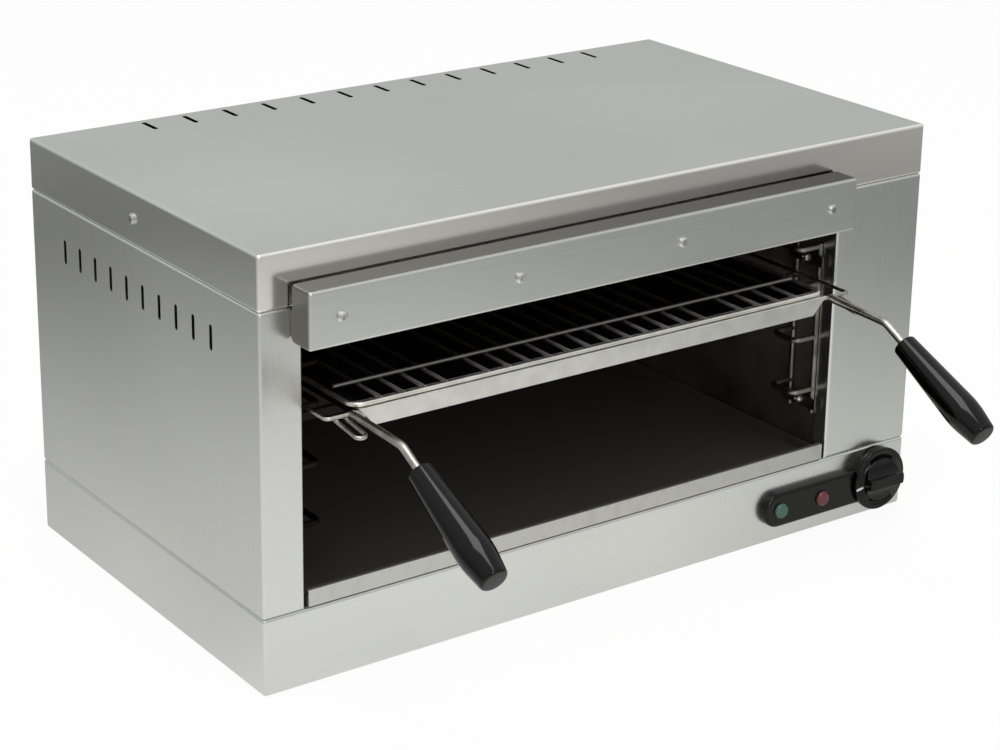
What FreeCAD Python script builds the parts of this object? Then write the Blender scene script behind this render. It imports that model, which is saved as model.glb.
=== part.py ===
# Electric cheese melter: a bench-top grill with a slide-in wire shelf carrier.
# Frame: origin at the centre of the casing's footprint on the surface it stands on,
# +X to the right seen from the front, +Y to the back, +Z up. Lengths are millimetres.

import FreeCAD, Part
import Sketcher
import math
import os
import re
from FreeCAD import Placement, Rotation, Vector

doc = FreeCAD.newDocument("cheese_melter")

# Driving sizes, one table for the whole object

CASING_SIZES = [
    ("body_width", 600.0), ("body_depth", 340.0), ("body_height", 320.0),
    ("base_height", 58.0), ("lid_height", 40.0),
    ("left_pillar", 33.5), ("right_pillar", 86.0), ("pillar_return", 14.0),
    ("steel", 1.2), ("thin_steel", 0.8), ("fold_radius", 2.2), ("flange", 14.0),
    ("overrun", 2.0), ("seat_gap", 0.2), ("fit_gap", 0.1),
    ("top_slot_count", 13), ("top_slot_pitch", 35.4), ("top_slot_long", 22.3),
    ("slot_wide", 4.0), ("top_slot_from_back", 19.4), ("top_slot_shift", 5.0),
    ("side_slot_count", 10), ("side_slot_pitch", 24.5), ("side_slot_long", 18.8),
    ("side_slot_below_lid", 35.8), ("side_slot_shift", 4.5),
    ("back_panel_inset", 20.0), ("back_slot_count", 9), ("back_slot_pitch", 24.0),
    ("back_slot_long", 56.0), ("back_slot_below_lid", 56.0),
    ("header_height", 24.0), ("header_shelf", 20.0), ("header_lip", 9.0),
    ("bottom_screw_inset", 40.0), ("bracket_wide", 20.0), ("bracket_foot", 10.0), ("bracket_high", 32.0),
    ("cover_screw_shift", 3.0), ("cover_screw_inset", 17.0),
    ("back_screw_inset", 28.0), ("back_screw_margin", 12.0),
    ("lead_hole", 9.0), ("lead_hole_back", 58.0),
]
HOOD_SIZES = [
    ("hood_lap", 9.2), ("hood_short", 5.5), ("hood_out", 24.3), ("hood_flange", 21.5),
    ("hood_seat_gap", 0.3),
    ("hood_below_lid", 24.4), ("hood_height", 41.3), ("hood_hem", 7.0), ("hood_notch_gap", 1.0),
    ("hood_corner", 8.0), ("hood_top_corner", 2.0),
    ("hood_screw_count", 4), ("hood_screw_inset", 25.2), ("spacer_radius", 5.0),
]
CAVITY_SIZES = [
    ("liner_depth", 298.0), ("liner_start", 1.2), ("reflector_below_lid", 6.1), ("reflector_upstand", 11.0),
    ("element_radius", 4.0), ("element_drop", 10.0), ("element_count", 3), ("element_pitch", 82.0),
    ("element_span", 40.0), ("element_bend", 16.8), ("element_first_back", 73.0), ("element_end_gap", 32.0),
    ("element_tail", 24.0), ("element_hole_gap", 0.3),
    ("hanger_height", 18.0), ("hanger_inset", 66.0), ("hanger_foot", 12.0), ("hanger_margin", 16.0),
    ("terminal_radius", 2.0), ("terminal_long", 14.0),
    ("flange_plate_high", 22.0), ("flange_plate_margin", 11.0),
    ("tray_gap", 0.3), ("tray_clear_left", 2.9), ("tray_clear_right", 3.3), ("tray_lip", 12.4),
    ("tray_wall", 8.0), ("tray_hem", 4.0), ("tray_back_gap", 8.0),
]
SHELF_SIZES = [
    ("support_wire", 2.25), ("support_front", 16.6), ("support_pair", 25.3), ("support_apart", 217.6),
    ("support_reach", 21.0), ("support_corner", 5.0), ("support_foot_above_base", 34.4),
    ("level_above_base", 54.7), ("level_pitch", 43.8), ("level_count", 3), ("guard_above_level", 30.6),
    ("clip_long", 38.0), ("clip_high", 9.0), ("clip_thick", 1.0), ("clip_low_gap", 8.5),
               ("clip_high_gap", 11.3),
    ("carrier_wire", 1.5), ("carrier_side_gap", 5.2), ("carrier_out", 20.5), ("carrier_long", 309.0),
    ("carrier_corner", 3.0), ("running_gap", 0.25),
    ("handle_inset", 20.05), ("handle_rod", 3.0), ("rod_run", 60.2), ("rod_droop_angle", 1.94),
    ("rod_bend_angle", 27.65), ("rod_bend_radius", 12.0), ("rod_neck", 23.1), ("rod_in_grip", 43.4),
    ("weld_gap", 0.05), ("stay_wire", 1.5), ("stay_long", 27.2), ("stay_wide", 8.0), ("stay_drop", 3.8),
    ("stay_sink", 0.6), ("stay_bend", 3.6),
    ("grip_long", 94.9), ("grip_start", 9.0), ("grip_belly", 13.3), ("grip_belly_along", 73.0),
               ("grip_end", 10.0),
    ("grip_edge", 1.5), ("grip_blend", 80.0), ("grip_round", 2.5), ("grip_bore_gap", 0.03),
    ("pan_thick", 0.8), ("pan_side_inset", 25.1), ("pan_lip", 13.4), ("pan_back_lip", 8.0),
    ("pan_mitre", 12.0), ("pan_ledge", 9.0), ("pan_deep", 12.2), ("pan_side_ledge", 7.0), ("pan_round", 0.7),
    ("rack_frame_wire", 1.75), ("rack_wire", 1.5), ("rack_overhang", 1.5), ("rack_shift", 2.0),
    ("rack_long", 302.0), ("rack_corner", 9.0), ("rack_set_back", 0.5), ("rack_places", 22),
    ("rack_wire_margin", 24.6), ("rack_gap_place", 4), ("rack_first_bar", 32.0), ("rack_bar_count", 4),
    ("rack_bar_inset", 4.0),
]
CONTROL_SIZES = [
    ("bezel_height", 28.4), ("bezel_centre", 28.4), ("bezel_left_in", 151.4), ("bezel_out", 7.0),
    ("bezel_edge", 2.5), ("boss_radius", 25.0), ("knob_in", 33.3), ("knob_up", 32.2), ("knob_radius", 18.0),
    ("knob_skirt", 3.4), ("knob_skirt_radius", 26.0), ("knob_deep", 12.4), ("knob_gap", 0.6),
                 ("knob_bar", 9.0),
    ("knob_scoop_radius", 20.0), ("knob_scoop_deep", 8.0), ("knob_scoop_off", 12.0), ("knob_edge", 1.2),
    ("knob_bore_deep", 8.0),
    ("pointer_start", 18.6), ("pointer_long", 7.0), ("pointer_wide", 2.0), ("pointer_deep", 0.8),
    ("pointer_angle", 10.0),
    ("spindle_radius", 3.0), ("spindle_gap", 0.05), ("spindle_back", 12.0),
    ("nut_radius", 8.0), ("nut_thick", 3.0), ("bush_radius", 5.0),
    ("regulator_side", 44.0), ("regulator_deep", 34.0), ("regulator_tab", 6.3), ("tab_count", 4),
    ("lamp_radius", 6.3), ("lamp_rise", 3.0), ("lamp_dome", 2.4), ("lamp_stem", 4.8), ("lamp_long", 26.0),
    ("green_in", 135.8), ("red_in", 92.5),
]
WIRING_SIZES = [
    ("block_long", 62.0), ("block_wide", 22.0), ("block_high", 18.0), ("block_ways", 5), ("block_hole", 2.6),
    ("block_screw_long", 5.4), ("block_in", 80.0), ("block_from_back", 70.0),
    ("gland_in", 50.0), ("gland_up", 30.0), ("gland_bore", 4.5), ("gland_thread", 9.8), ("gland_hex", 12.0),
    ("gland_body", 9.0), ("gland_dome", 11.0), ("gland_dome_radius", 10.3), ("gland_inner", 14.0),
                ("gland_nut", 5.0),
    ("loom_count", 3), ("loom_wire", 1.4), ("loom_pitch", 4.0), ("loom_bend", 3.6), ("loom_rise", 10.0),
    ("loom_turn", 40.0), ("loom_lead_in", 25.0), ("lead_bend", 2.4), ("lead_on_stud", 3.5),
]
SCREW_SIZES = [
    ("screw_shank", 2.0), ("screw_head", 4.0), ("screw_head_high", 2.4), ("screw_head_flat", 1.1),
    ("screw_crown", 2.5), ("screw_recess", 0.9), ("screw_recess_reach", 1.8), ("screw_recess_deep", 1.2),
    ("screw_hole_gap", 0.1),
]

sheet = doc.addObject("Spreadsheet::Sheet", "Sizes")
table = CASING_SIZES + HOOD_SIZES + CAVITY_SIZES + SHELF_SIZES + CONTROL_SIZES + WIRING_SIZES + SCREW_SIZES
for row, (alias, value) in enumerate(table, 1):
    sheet.set("A%d" % row, alias)
    sheet.set("B%d" % row, str(value))
    sheet.setAlias("B%d" % row, alias)
doc.recompute()
ALIASES = {alias for alias, value in table}


class Sizes:
    """Reads a size from the sheet by its name."""

    def __getattr__(self, alias):
        return float(sheet.get(alias))


S = Sizes()
pieces = {}


# Helpers for expressions, sketches and placed solids

def expression(text):
    """Turns a sum of size names into an expression on the sheet."""
    return re.sub(r"[A-Za-z_]\w*", lambda m: "Sizes." + m.group() if m.group() in ALIASES else m.group(),
                  text)


def bind(thing, prop, text):
    thing.setExpression(prop, expression(text))


def keep(name, thing):
    """Registers a finished sub-part under its node name."""
    thing.Label = name
    pieces[name] = thing
    return thing


def body(name):
    return keep(name, doc.addObject("PartDesign::Body", name))


def sketch(owner, name, role, offset="0"):
    """A sketch on one of the body's own origin planes, moved along its normal."""
    made = owner.newObject("Sketcher::SketchObject", name)
    plane = [o for o in owner.Origin.OriginFeatures if o.Role == role][0]
    made.AttachmentSupport = [(plane, "")]
    made.MapMode = "FlatFace"
    if offset != "0":
        bind(made, ".AttachmentOffset.Base.z", offset)
    return made


def fix(made, kind, places, text):
    """Adds one dimension to a sketch and binds it to the sheet."""
    number = made.addConstraint(Sketcher.Constraint(kind, *places, 1.0))
    bind(made, "Constraints[%d]" % number, text)


def outline(made, points):
    """A closed outline of straight lines through points given as sums of sizes."""
    first = len(made.Geometry)
    count = len(points)
    around = [2 * math.pi * i / count for i in range(count)]
    guess = [Vector(S.flange * math.cos(a), S.flange * math.sin(a), 0) for a in around]
    for i in range(count):
        made.addGeometry(Part.LineSegment(guess[i], guess[(i + 1) % count]), False)
    for i in range(count):
        made.addConstraint(Sketcher.Constraint("Coincident", first + i, 2, first + (i + 1) % count, 1))
    for i, (across, up) in enumerate(points):
        fix(made, "DistanceX", (-1, 1, first + i, 1), across)
        fix(made, "DistanceY", (-1, 1, first + i, 1), up)


def rectangle(made, low, high):
    (x0, y0), (x1, y1) = low, high
    outline(made, [(x0, y0), (x1, y0), (x1, y1), (x0, y1)])


def circle(made, across, up, radius):
    number = made.addGeometry(Part.Circle(Vector(0, 0, 0), Vector(0, 0, 1), S.flange), False)
    fix(made, "Radius", (number,), radius)
    fix(made, "DistanceX", (-1, 1, number, 3), across)
    fix(made, "DistanceY", (-1, 1, number, 3), up)


def slot(made, across, up, length, width):
    """An upright slot with round ends, centred on (across, up)."""
    first = len(made.Geometry)
    radius = S.slot_wide / 2
    top, low = Vector(0, S.top_slot_long, 0), Vector(0, 0, 0)
    side = Vector(radius, 0, 0)
    axis = Vector(0, 0, 1)
    made.addGeometry(Part.ArcOfCircle(Part.Circle(top, axis, radius), 0, math.pi), False)
    made.addGeometry(Part.ArcOfCircle(Part.Circle(low, axis, radius), math.pi, 2 * math.pi), False)
    made.addGeometry(Part.LineSegment(top - side, low - side), False)
    made.addGeometry(Part.LineSegment(low + side, top + side), False)
    upper, lower, left, right = range(first, first + 4)
    for one, end_one, two, end_two in ((upper, 2, left, 1), (left, 2, lower, 1), (lower, 2, right, 1),
                                       (right, 2, upper, 1)):
        made.addConstraint(Sketcher.Constraint("Coincident", one, end_one, two, end_two))
    made.addConstraint([Sketcher.Constraint("Vertical", left), Sketcher.Constraint("Vertical", right)])
    for arc in (upper, lower):
        for end in (1, 2):
            made.addConstraint(Sketcher.Constraint("Horizontal", arc, 3, arc, end))
    fix(made, "Radius", (upper,), "(%s) / 2" % width)
    fix(made, "DistanceX", (-1, 1, upper, 3), across)
    fix(made, "DistanceY", (-1, 1, upper, 3), "%s + ((%s) - (%s)) / 2" % (up, length, width))
    fix(made, "DistanceY", (-1, 1, lower, 3), "%s - ((%s) - (%s)) / 2" % (up, length, width))


def corner_cut(made, corner, inward, radius):
    """The waste outside a rounded corner: two straight edges and the arc between their ends."""
    first = len(made.Geometry)
    size = S.flange
    over, rise = inward
    point = Vector(0, 0, 0)
    centre = Vector(over * size, rise * size, 0)
    along, up = Vector(over * size, 0, 0), Vector(0, rise * size, 0)
    made.addGeometry(Part.LineSegment(along, point), False)
    made.addGeometry(Part.LineSegment(point, up), False)
    counterclockwise = over * rise < 0
    start = math.atan2(-rise, 0) if counterclockwise else math.atan2(0, -over)
    bow = Part.ArcOfCircle(Part.Circle(centre, Vector(0, 0, 1), size), start, start + math.pi / 2)
    made.addGeometry(bow, False)
    level, upright, arc = range(first, first + 3)
    at_level, at_upright = (1, 2) if counterclockwise else (2, 1)
    for one, end_one, two, end_two in ((level, 2, upright, 1), (level, 1, arc, at_level),
                                       (upright, 2, arc, at_upright)):
        made.addConstraint(Sketcher.Constraint("Coincident", one, end_one, two, end_two))
    made.addConstraint([Sketcher.Constraint("Horizontal", level), Sketcher.Constraint("Vertical", upright)])
    made.addConstraint(Sketcher.Constraint("Vertical", arc, 3, arc, at_level))
    made.addConstraint(Sketcher.Constraint("Horizontal", arc, 3, arc, at_upright))
    fix(made, "Radius", (arc,), radius)
    fix(made, "DistanceX", (-1, 1, level, 2), corner[0])
    fix(made, "DistanceY", (-1, 1, level, 2), corner[1])


def pad(owner, profile, length, reverse=False):
    made = owner.newObject("PartDesign::Pad", profile.Name + "_pad")
    made.Profile = profile
    made.Reversed = reverse
    bind(made, "Length", length)
    doc.recompute()
    return made


def pocket(owner, profile, length, reverse=False):
    """Cuts a sketch into its body and checks that something was removed."""
    before = owner.Shape.Volume
    made = owner.newObject("PartDesign::Pocket", profile.Name + "_cut")
    made.Profile = profile
    made.Reversed = reverse
    bind(made, "Length", length)
    doc.recompute()
    if owner.Shape.Volume >= before:
        raise RuntimeError(made.Name + " cuts nothing")
    return made


def row_of(owner, feature, profile, axis, pitch, count):
    """Repeats a feature along a sketch axis and makes the row the body's tip."""
    made = owner.newObject("PartDesign::LinearPattern", feature.Name + "_row")
    made.Originals = [feature]
    made.Direction = (profile, [axis])
    bind(made, "Length", "%s * (%s - 1)" % (pitch, count))
    bind(made, "Occurrences", count)
    owner.Tip = made
    doc.recompute()
    return made


def round_edges(owner, feature, wanted, radius):
    """Fillets the edges of a feature that a test picks by its middle point and direction."""
    names = []
    for number, edge in enumerate(feature.Shape.Edges, 1):
        middle = edge.valueAt((edge.FirstParameter + edge.LastParameter) / 2)
        along = edge.tangentAt((edge.FirstParameter + edge.LastParameter) / 2)
        if wanted(middle, along):
            names.append("Edge%d" % number)
    made = owner.newObject("PartDesign::Fillet", feature.Name + "_round")
    made.Base = (feature, names)
    bind(made, "Radius", radius)
    doc.recompute()
    return made


def revolve(name, points, base, turn, rounds=()):
    """A turned piece: an outline of (radius, height) spun round Z, its round edges blended, then placed."""
    made = body(name)
    profile = sketch(made, name + "_profile", "XZ_Plane")
    outline(profile, points)
    spun = made.newObject("PartDesign::Revolution", name + "_turned")
    spun.Profile = profile
    spun.ReferenceAxis = (profile, ["V_Axis"])
    spun.Angle = 360.0
    doc.recompute()
    blended = spun
    for height, radius in rounds:
        level = getattr(S, height)

        def at_level(middle, along):
            return abs(middle.z - level) < S.fit_gap and abs(along.z) < abs(along.x) + abs(along.y)

        blended = round_edges(made, blended, at_level, radius)
    made.Placement = Placement(base, turn)
    doc.recompute()
    return made


def block(name, low, high):
    """A box between two corners given as sums of sizes."""
    made = doc.addObject("Part::Box", name)
    for prop, one, two in zip(("Length", "Width", "Height"), low, high):
        bind(made, prop, "(%s) - (%s)" % (two, one))
    for axis, text in zip("xyz", low):
        bind(made, ".Placement.Base." + axis, text)
    return made


def joined(name, members):
    made = doc.addObject("Part::MultiFuse", name)
    made.Shapes = members
    made.Refine = True
    doc.recompute()
    return made


def cut_from(name, base, tools):
    """A cut that takes every tool from the base and checks that it removed something."""
    made = doc.addObject("Part::Cut", name)
    made.Base = base
    made.Tool = tools[0] if len(tools) == 1 else joined(name + "_tools", tools)
    made.Refine = True
    doc.recompute()
    if made.Shape.Volume >= base.Shape.Volume:
        raise RuntimeError(name + " cuts nothing")
    return made


def feature_tool(name, shape):
    """A plain shape used only as a cutting tool."""
    made = doc.addObject("Part::Feature", name)
    made.Shape = shape
    return made


def feature(name, shape):
    return keep(name, feature_tool(name, shape))


def bent_rod(points, radius, bend):
    """A round bar through points, straight runs joined by tangent arcs of one radius."""
    edges = []
    start = points[0]
    for before, corner, after in zip(points, points[1:], points[2:]):
        inward = (before - corner).normalize()
        outward = (after - corner).normalize()
        half = (math.pi - inward.getAngle(outward)) / 2
        step = bend * math.tan(half)
        first = corner + inward * step
        last = corner + outward * step
        bisector = (inward + outward).normalize()
        middle = corner + bisector * (bend / math.cos(half) - bend)
        edges.append(Part.LineSegment(start, first).toShape())
        edges.append(Part.Arc(first, middle, last).toShape())
        start = last
    edges.append(Part.LineSegment(start, points[-1]).toShape())
    path = Part.Wire(edges)
    ring = Part.Wire([Part.Circle(points[0], points[1] - points[0], radius).toShape()])
    return path.makePipeShell([ring], True, False)


def straight_rod(one, two, radius):
    return Part.makeCylinder(radius, (two - one).Length, one, two - one)


def screw_shape(place, out, length):
    """A pan-head screw: 'out' points away from the work, the shank goes the other way."""
    flat = S.screw_head_flat
    head = Part.makeCylinder(S.screw_head, flat, Vector(0, 0, 0), Vector(0, 0, 1))
    crown = Part.makeCone(S.screw_head, S.screw_crown, S.screw_head_high - flat, Vector(0, 0, flat),
                          Vector(0, 0, 1))
    shank = Part.makeCylinder(S.screw_shank, length, Vector(0, 0, -length), Vector(0, 0, 1))
    made = head.fuse([crown, shank])
    deep = S.screw_head_high - S.screw_recess_deep
    narrow, reach = S.screw_recess / 2, S.screw_recess_reach
    for across, along in ((narrow, reach), (reach, narrow)):
        arm = Part.makeBox(2 * across, 2 * along, S.screw_recess_deep + S.overrun,
                           Vector(-across, -along, deep))
        made = made.cut(arm)
    made.Placement = Placement(place, Rotation(Vector(0, 0, 1), out))
    return made


def screws(name, places, out, length):
    """Identical screws as separate solids in one node."""
    return feature(name, Part.makeCompound([screw_shape(p, out, length) for p in places]))


def hole(place, out, depth):
    """A clearance hole for a screw's shank, as a tool that starts above the face."""
    over = out * S.overrun
    return Part.makeCylinder(S.screw_shank + S.screw_hole_gap, depth + 2 * S.overrun, place + over, -out)


RIGHT, LEFT = Vector(1, 0, 0), Vector(-1, 0, 0)
BACK, FRONT = Vector(0, 1, 0), Vector(0, -1, 0)
UP = Vector(0, 0, 1)

# Places that several sub-parts share

OPEN_LEFT = "(left_pillar - body_width / 2)"
OPEN_RIGHT = "(body_width / 2 - right_pillar)"
LID_BOTTOM = "(body_height - lid_height)"
HOOD_BOTTOM = "(body_height - lid_height - hood_below_lid)"
REFLECTOR = "(body_height - lid_height - reflector_below_lid)"
half_width = S.body_width / 2
half_depth = S.body_depth / 2
front_face = -half_depth
lid_bottom = S.body_height - S.lid_height
open_left = S.left_pillar - half_width
open_right = half_width - S.right_pillar
open_middle = (open_left + open_right) / 2
liner_left = open_left - S.steel
liner_right = open_right + S.steel
liner_front = front_face + S.liner_start
liner_back = liner_front + S.liner_depth
hood_left = open_left - S.hood_lap
hood_right = open_right - S.hood_short
hood_screw_up = lid_bottom - S.hood_below_lid + S.hood_height / 2
hood_screw_pitch = (hood_right - hood_left - 2 * S.hood_screw_inset) / (S.hood_screw_count - 1)
hood_first_screw = hood_left + S.hood_screw_inset
hood_screw_across = [hood_first_screw + i * hood_screw_pitch for i in range(int(S.hood_screw_count))]
reflector_up = lid_bottom - S.reflector_below_lid
element_up = reflector_up - S.element_drop
element_back = [front_face + S.element_first_back + i * S.element_pitch for i in range(int(S.element_count))]
knob_across = half_width - S.knob_in
cover_screw_up = lid_bottom + S.lid_height / 2
levels = [S.base_height + S.level_above_base + i * S.level_pitch for i in range(int(S.level_count))]
shelf_level = levels[-1]
carrier_up = shelf_level + S.support_wire + S.running_gap + S.carrier_wire
carrier_half = (open_right - open_left) / 2 - S.carrier_side_gap
handle_half = carrier_half - S.handle_inset
carrier_front = front_face - S.carrier_out
carrier_back = carrier_front + S.carrier_long
pan_half = carrier_half - S.pan_side_inset
pan_top = carrier_up + S.carrier_wire + S.running_gap + S.pan_thick


# Base: the plinth with its control openings

def make_base():
    base = body("base_tray")
    outer = sketch(base, "base_outer", "XY_Plane")
    rectangle(outer, ("-body_width / 2", "-body_depth / 2"), ("body_width / 2", "body_depth / 2"))
    shell = pad(base, outer, "base_height")
    round_edges(base, shell, lambda middle, along: True, "fold_radius")
    inner = sketch(base, "base_inner", "XY_Plane", "base_height - steel")
    rectangle(inner, ("steel - body_width / 2", "steel - body_depth / 2"),
              ("body_width / 2 - steel", "body_depth / 2 - steel"))
    pocket(base, inner, "base_height - 2 * steel")
    for name, level in (("base_top_window", "base_height"), ("base_bottom_window", "steel")):
        window = sketch(base, name, "XY_Plane", level)
        rectangle(window, ("flange - body_width / 2", "flange - body_depth / 2"),
                  ("body_width / 2 - flange", "body_depth / 2 - flange"))
        pocket(base, window, "steel")
    front = sketch(base, "base_front_holes", "XZ_Plane", "body_depth / 2")
    circle(front, "body_width / 2 - knob_in", "knob_up", "bush_radius + fit_gap")
    for across in ("green_in", "red_in"):
        circle(front, "body_width / 2 - " + across, "bezel_centre", "lamp_stem + fit_gap")
    pocket(base, front, "2 * steel")
    back = sketch(base, "base_gland_hole", "XZ_Plane", "2 * steel - body_depth / 2")
    circle(back, "body_width / 2 - gland_in", "gland_up", "gland_thread + fit_gap")
    pocket(base, back, "3 * steel")
    seats = sketch(base, "base_plate_holes", "XY_Plane", "steel + overrun")
    for side in "-+":
        for end in "-+":
            across = "%s(body_width / 2 - bottom_screw_inset)" % side
            circle(seats, across, "%s(body_depth / 2 - flange / 2)" % end, "screw_shank + screw_hole_gap")
    pocket(base, seats, "steel + 2 * overrun")


def make_bottom_plate():
    low = ("2 * steel - body_width / 2", "2 * steel - body_depth / 2", "steel")
    high = ("body_width / 2 - 2 * steel", "body_depth / 2 - 2 * steel", "steel + thin_steel")
    inset = S.flange / 2
    across = half_width - S.bottom_screw_inset
    rows = (inset - half_depth, half_depth - inset)
    places = [Vector(x, y, S.steel + S.thin_steel) for x in (-across, across) for y in rows]
    sheet_metal = block("bottom_sheet", low, high)
    tools = [feature_tool("bottom_hole_%d" % i, hole(p, UP, S.thin_steel)) for i, p in enumerate(places)]
    keep("bottom_plate", cut_from("bottom_plate", sheet_metal, tools))
    screws("bottom_screws", places, UP, S.steel + S.thin_steel - S.seat_gap)


# Casing: side panels with their front pillars, back, lid and front header

BACK_LOW = "base_height + steel + back_screw_margin"
BACK_HIGH = LID_BOTTOM + " - steel - back_screw_margin"
BACK_SCREWS_UP = (BACK_LOW, "(%s + %s) / 2" % (BACK_LOW, BACK_HIGH), BACK_HIGH)


def make_side_panel(name, side, pillar):
    """A side wall folded round into the front pillar, its return and the rear flange."""
    panel = body(name)
    wall = "%s * body_width / 2" % side
    inside = "%s * (body_width / 2 - steel)" % side
    edge = "%s * (body_width / 2 - %s)" % (side, pillar)
    fold = "%s * (body_width / 2 - %s + steel)" % (side, pillar)
    beyond = "%s * (body_width / 2 - %s - overrun)" % (side, pillar)
    outer = sketch(panel, name + "_outer", "XY_Plane", "base_height")
    corners = [wall, edge] if side == "-1" else [edge, wall]
    rectangle(outer, (corners[0], "-body_depth / 2"), (corners[1], "body_depth / 2"))
    shell = pad(panel, outer, "body_height - base_height - lid_height")
    open_x = S.body_width / 2 - (S.left_pillar if side == "-1" else S.right_pillar)

    def outside(middle, along):
        at_opening = abs(abs(middle.x) - open_x) < S.steel
        return not at_opening or (middle.y < S.steel - half_depth and abs(along.z) > abs(along.y))

    round_edges(panel, shell, outside, "fold_radius")
    inner = sketch(panel, name + "_inner", "XY_Plane", LID_BOTTOM + " - steel")
    outline(inner, [
        (inside, "steel - body_depth / 2"), (fold, "steel - body_depth / 2"),
        (fold, "pillar_return - body_depth / 2"), (beyond, "pillar_return - body_depth / 2"),
        (beyond, "body_depth / 2 - steel"), (inside, "body_depth / 2 - steel"),
    ])
    pocket(panel, inner, "body_height - base_height - lid_height - 2 * steel")
    slot_plane = "%s - %s * 2 * steel" % (wall, side) if side == "1" else wall
    rows = sketch(panel, name + "_slots", "YZ_Plane", slot_plane)
    first = "side_slot_shift - side_slot_pitch * (side_slot_count - 1) / 2"
    slot(rows, first, LID_BOTTOM + " - side_slot_below_lid", "side_slot_long", "slot_wide")
    cut = pocket(panel, rows, "2 * steel", reverse=True)
    row_of(panel, cut, rows, "H_Axis", "side_slot_pitch", "side_slot_count")
    holes = sketch(panel, name + "_back_holes", "XZ_Plane", "2 * steel - body_depth / 2")
    for up in BACK_SCREWS_UP:
        circle(holes, "%s * (body_width / 2 - back_screw_inset)" % side, up, "screw_shank + screw_hole_gap")
    pocket(panel, holes, "3 * steel")
    if side == "1":
        passage = sketch(panel, name + "_lead_hole", "XY_Plane", "base_height + steel")
        circle(passage, "body_width / 2 - knob_in", "lead_hole_back - body_depth / 2", "lead_hole")
        pocket(panel, passage, "2 * steel")


def make_back_panel():
    panel = body("back_panel")
    face = sketch(panel, "back_face", "XZ_Plane", "steel - body_depth / 2")
    low = ("back_panel_inset - body_width / 2", "base_height + steel")
    high = ("body_width / 2 - back_panel_inset", LID_BOTTOM + " - steel")
    rectangle(face, low, high)
    pad(panel, face, "steel")
    vents = sketch(panel, "back_vents", "XZ_Plane", "2 * steel - body_depth / 2 + steel")
    first = "-back_slot_pitch * (back_slot_count - 1) / 2"
    slot(vents, first, LID_BOTTOM + " - back_slot_below_lid", "back_slot_long", "slot_wide")
    cut = pocket(panel, vents, "3 * steel")
    row_of(panel, cut, vents, "H_Axis", "back_slot_pitch", "back_slot_count")
    holes = sketch(panel, "back_screw_holes", "XZ_Plane", "2 * steel - body_depth / 2 + steel")
    for side in "-+":
        for up in BACK_SCREWS_UP:
            circle(holes, "%s(body_width / 2 - back_screw_inset)" % side, up, "screw_shank + screw_hole_gap")
    pocket(panel, holes, "3 * steel")
    low = S.base_height + S.steel + S.back_screw_margin
    high = lid_bottom - S.steel - S.back_screw_margin
    across = half_width - S.back_screw_inset
    heights = (low, (low + high) / 2, high)
    places = [Vector(side * across, half_depth, up) for side in (-1, 1) for up in heights]
    screws("back_screws", places, BACK, 2 * S.steel + S.overrun)


def bracket_notches():
    """Notches in the cover's bottom flange that the brackets rise through."""
    half = "(bracket_wide / 2 + fit_gap)"
    inner, outer = "(body_width / 2 - flange)", "(body_width / 2 - steel)"
    rear_in, rear_out = "body_depth / 2 - flange", "body_depth / 2 - steel"
    side_low, side_high = "cover_screw_shift - " + half, "cover_screw_shift + " + half
    rear_middle = "(body_width / 2 - cover_screw_inset)"
    return [
        ("notch_left", ("-" + outer, side_low), ("-" + inner, side_high)),
        ("notch_right", (inner, side_low), (outer, side_high)),
        ("notch_rear_left", ("-%s - %s" % (rear_middle, half), rear_in),
         ("-%s + %s" % (rear_middle, half), rear_out)),
        ("notch_rear_right", ("%s - %s" % (rear_middle, half), rear_in),
         ("%s + %s" % (rear_middle, half), rear_out)),
    ]


def make_cover_fixings():
    """Four angle brackets on the side panels' tops, and the screws that hold the cover to them."""
    brackets, heads = [], []
    rear_across = half_width - S.cover_screw_inset
    seats = [(Vector(-half_width, S.cover_screw_shift, 0), LEFT),
             (Vector(half_width, S.cover_screw_shift, 0), RIGHT),
             (Vector(-rear_across, half_depth, 0), BACK), (Vector(rear_across, half_depth, 0), BACK)]
    half = S.bracket_wide / 2
    for seat, out in seats:
        foot = Part.makeBox(S.bracket_foot, S.bracket_wide, S.steel, Vector(0, -half, 0))
        leg = Part.makeBox(S.steel, S.bracket_wide, S.bracket_high, Vector(0, -half, 0))
        bore_up = S.lid_height / 2
        bore = Part.makeCylinder(S.screw_shank + S.screw_hole_gap, S.flange, Vector(-S.overrun, 0, bore_up),
                                 RIGHT)
        bracket = foot.fuse(leg).removeSplitter().cut(bore)
        turn = Rotation(LEFT, out)
        if out == RIGHT:
            turn = Rotation(UP, 180)
        bracket.Placement = Placement(Vector(seat.x, seat.y, lid_bottom) - out * S.steel, turn)
        brackets.append(bracket)
        heads.append(screw_shape(Vector(seat.x, seat.y, cover_screw_up), out, 2 * S.steel + S.overrun))
    feature("cover_brackets", Part.makeCompound(brackets))
    feature("cover_screws", Part.makeCompound(heads))


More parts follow.
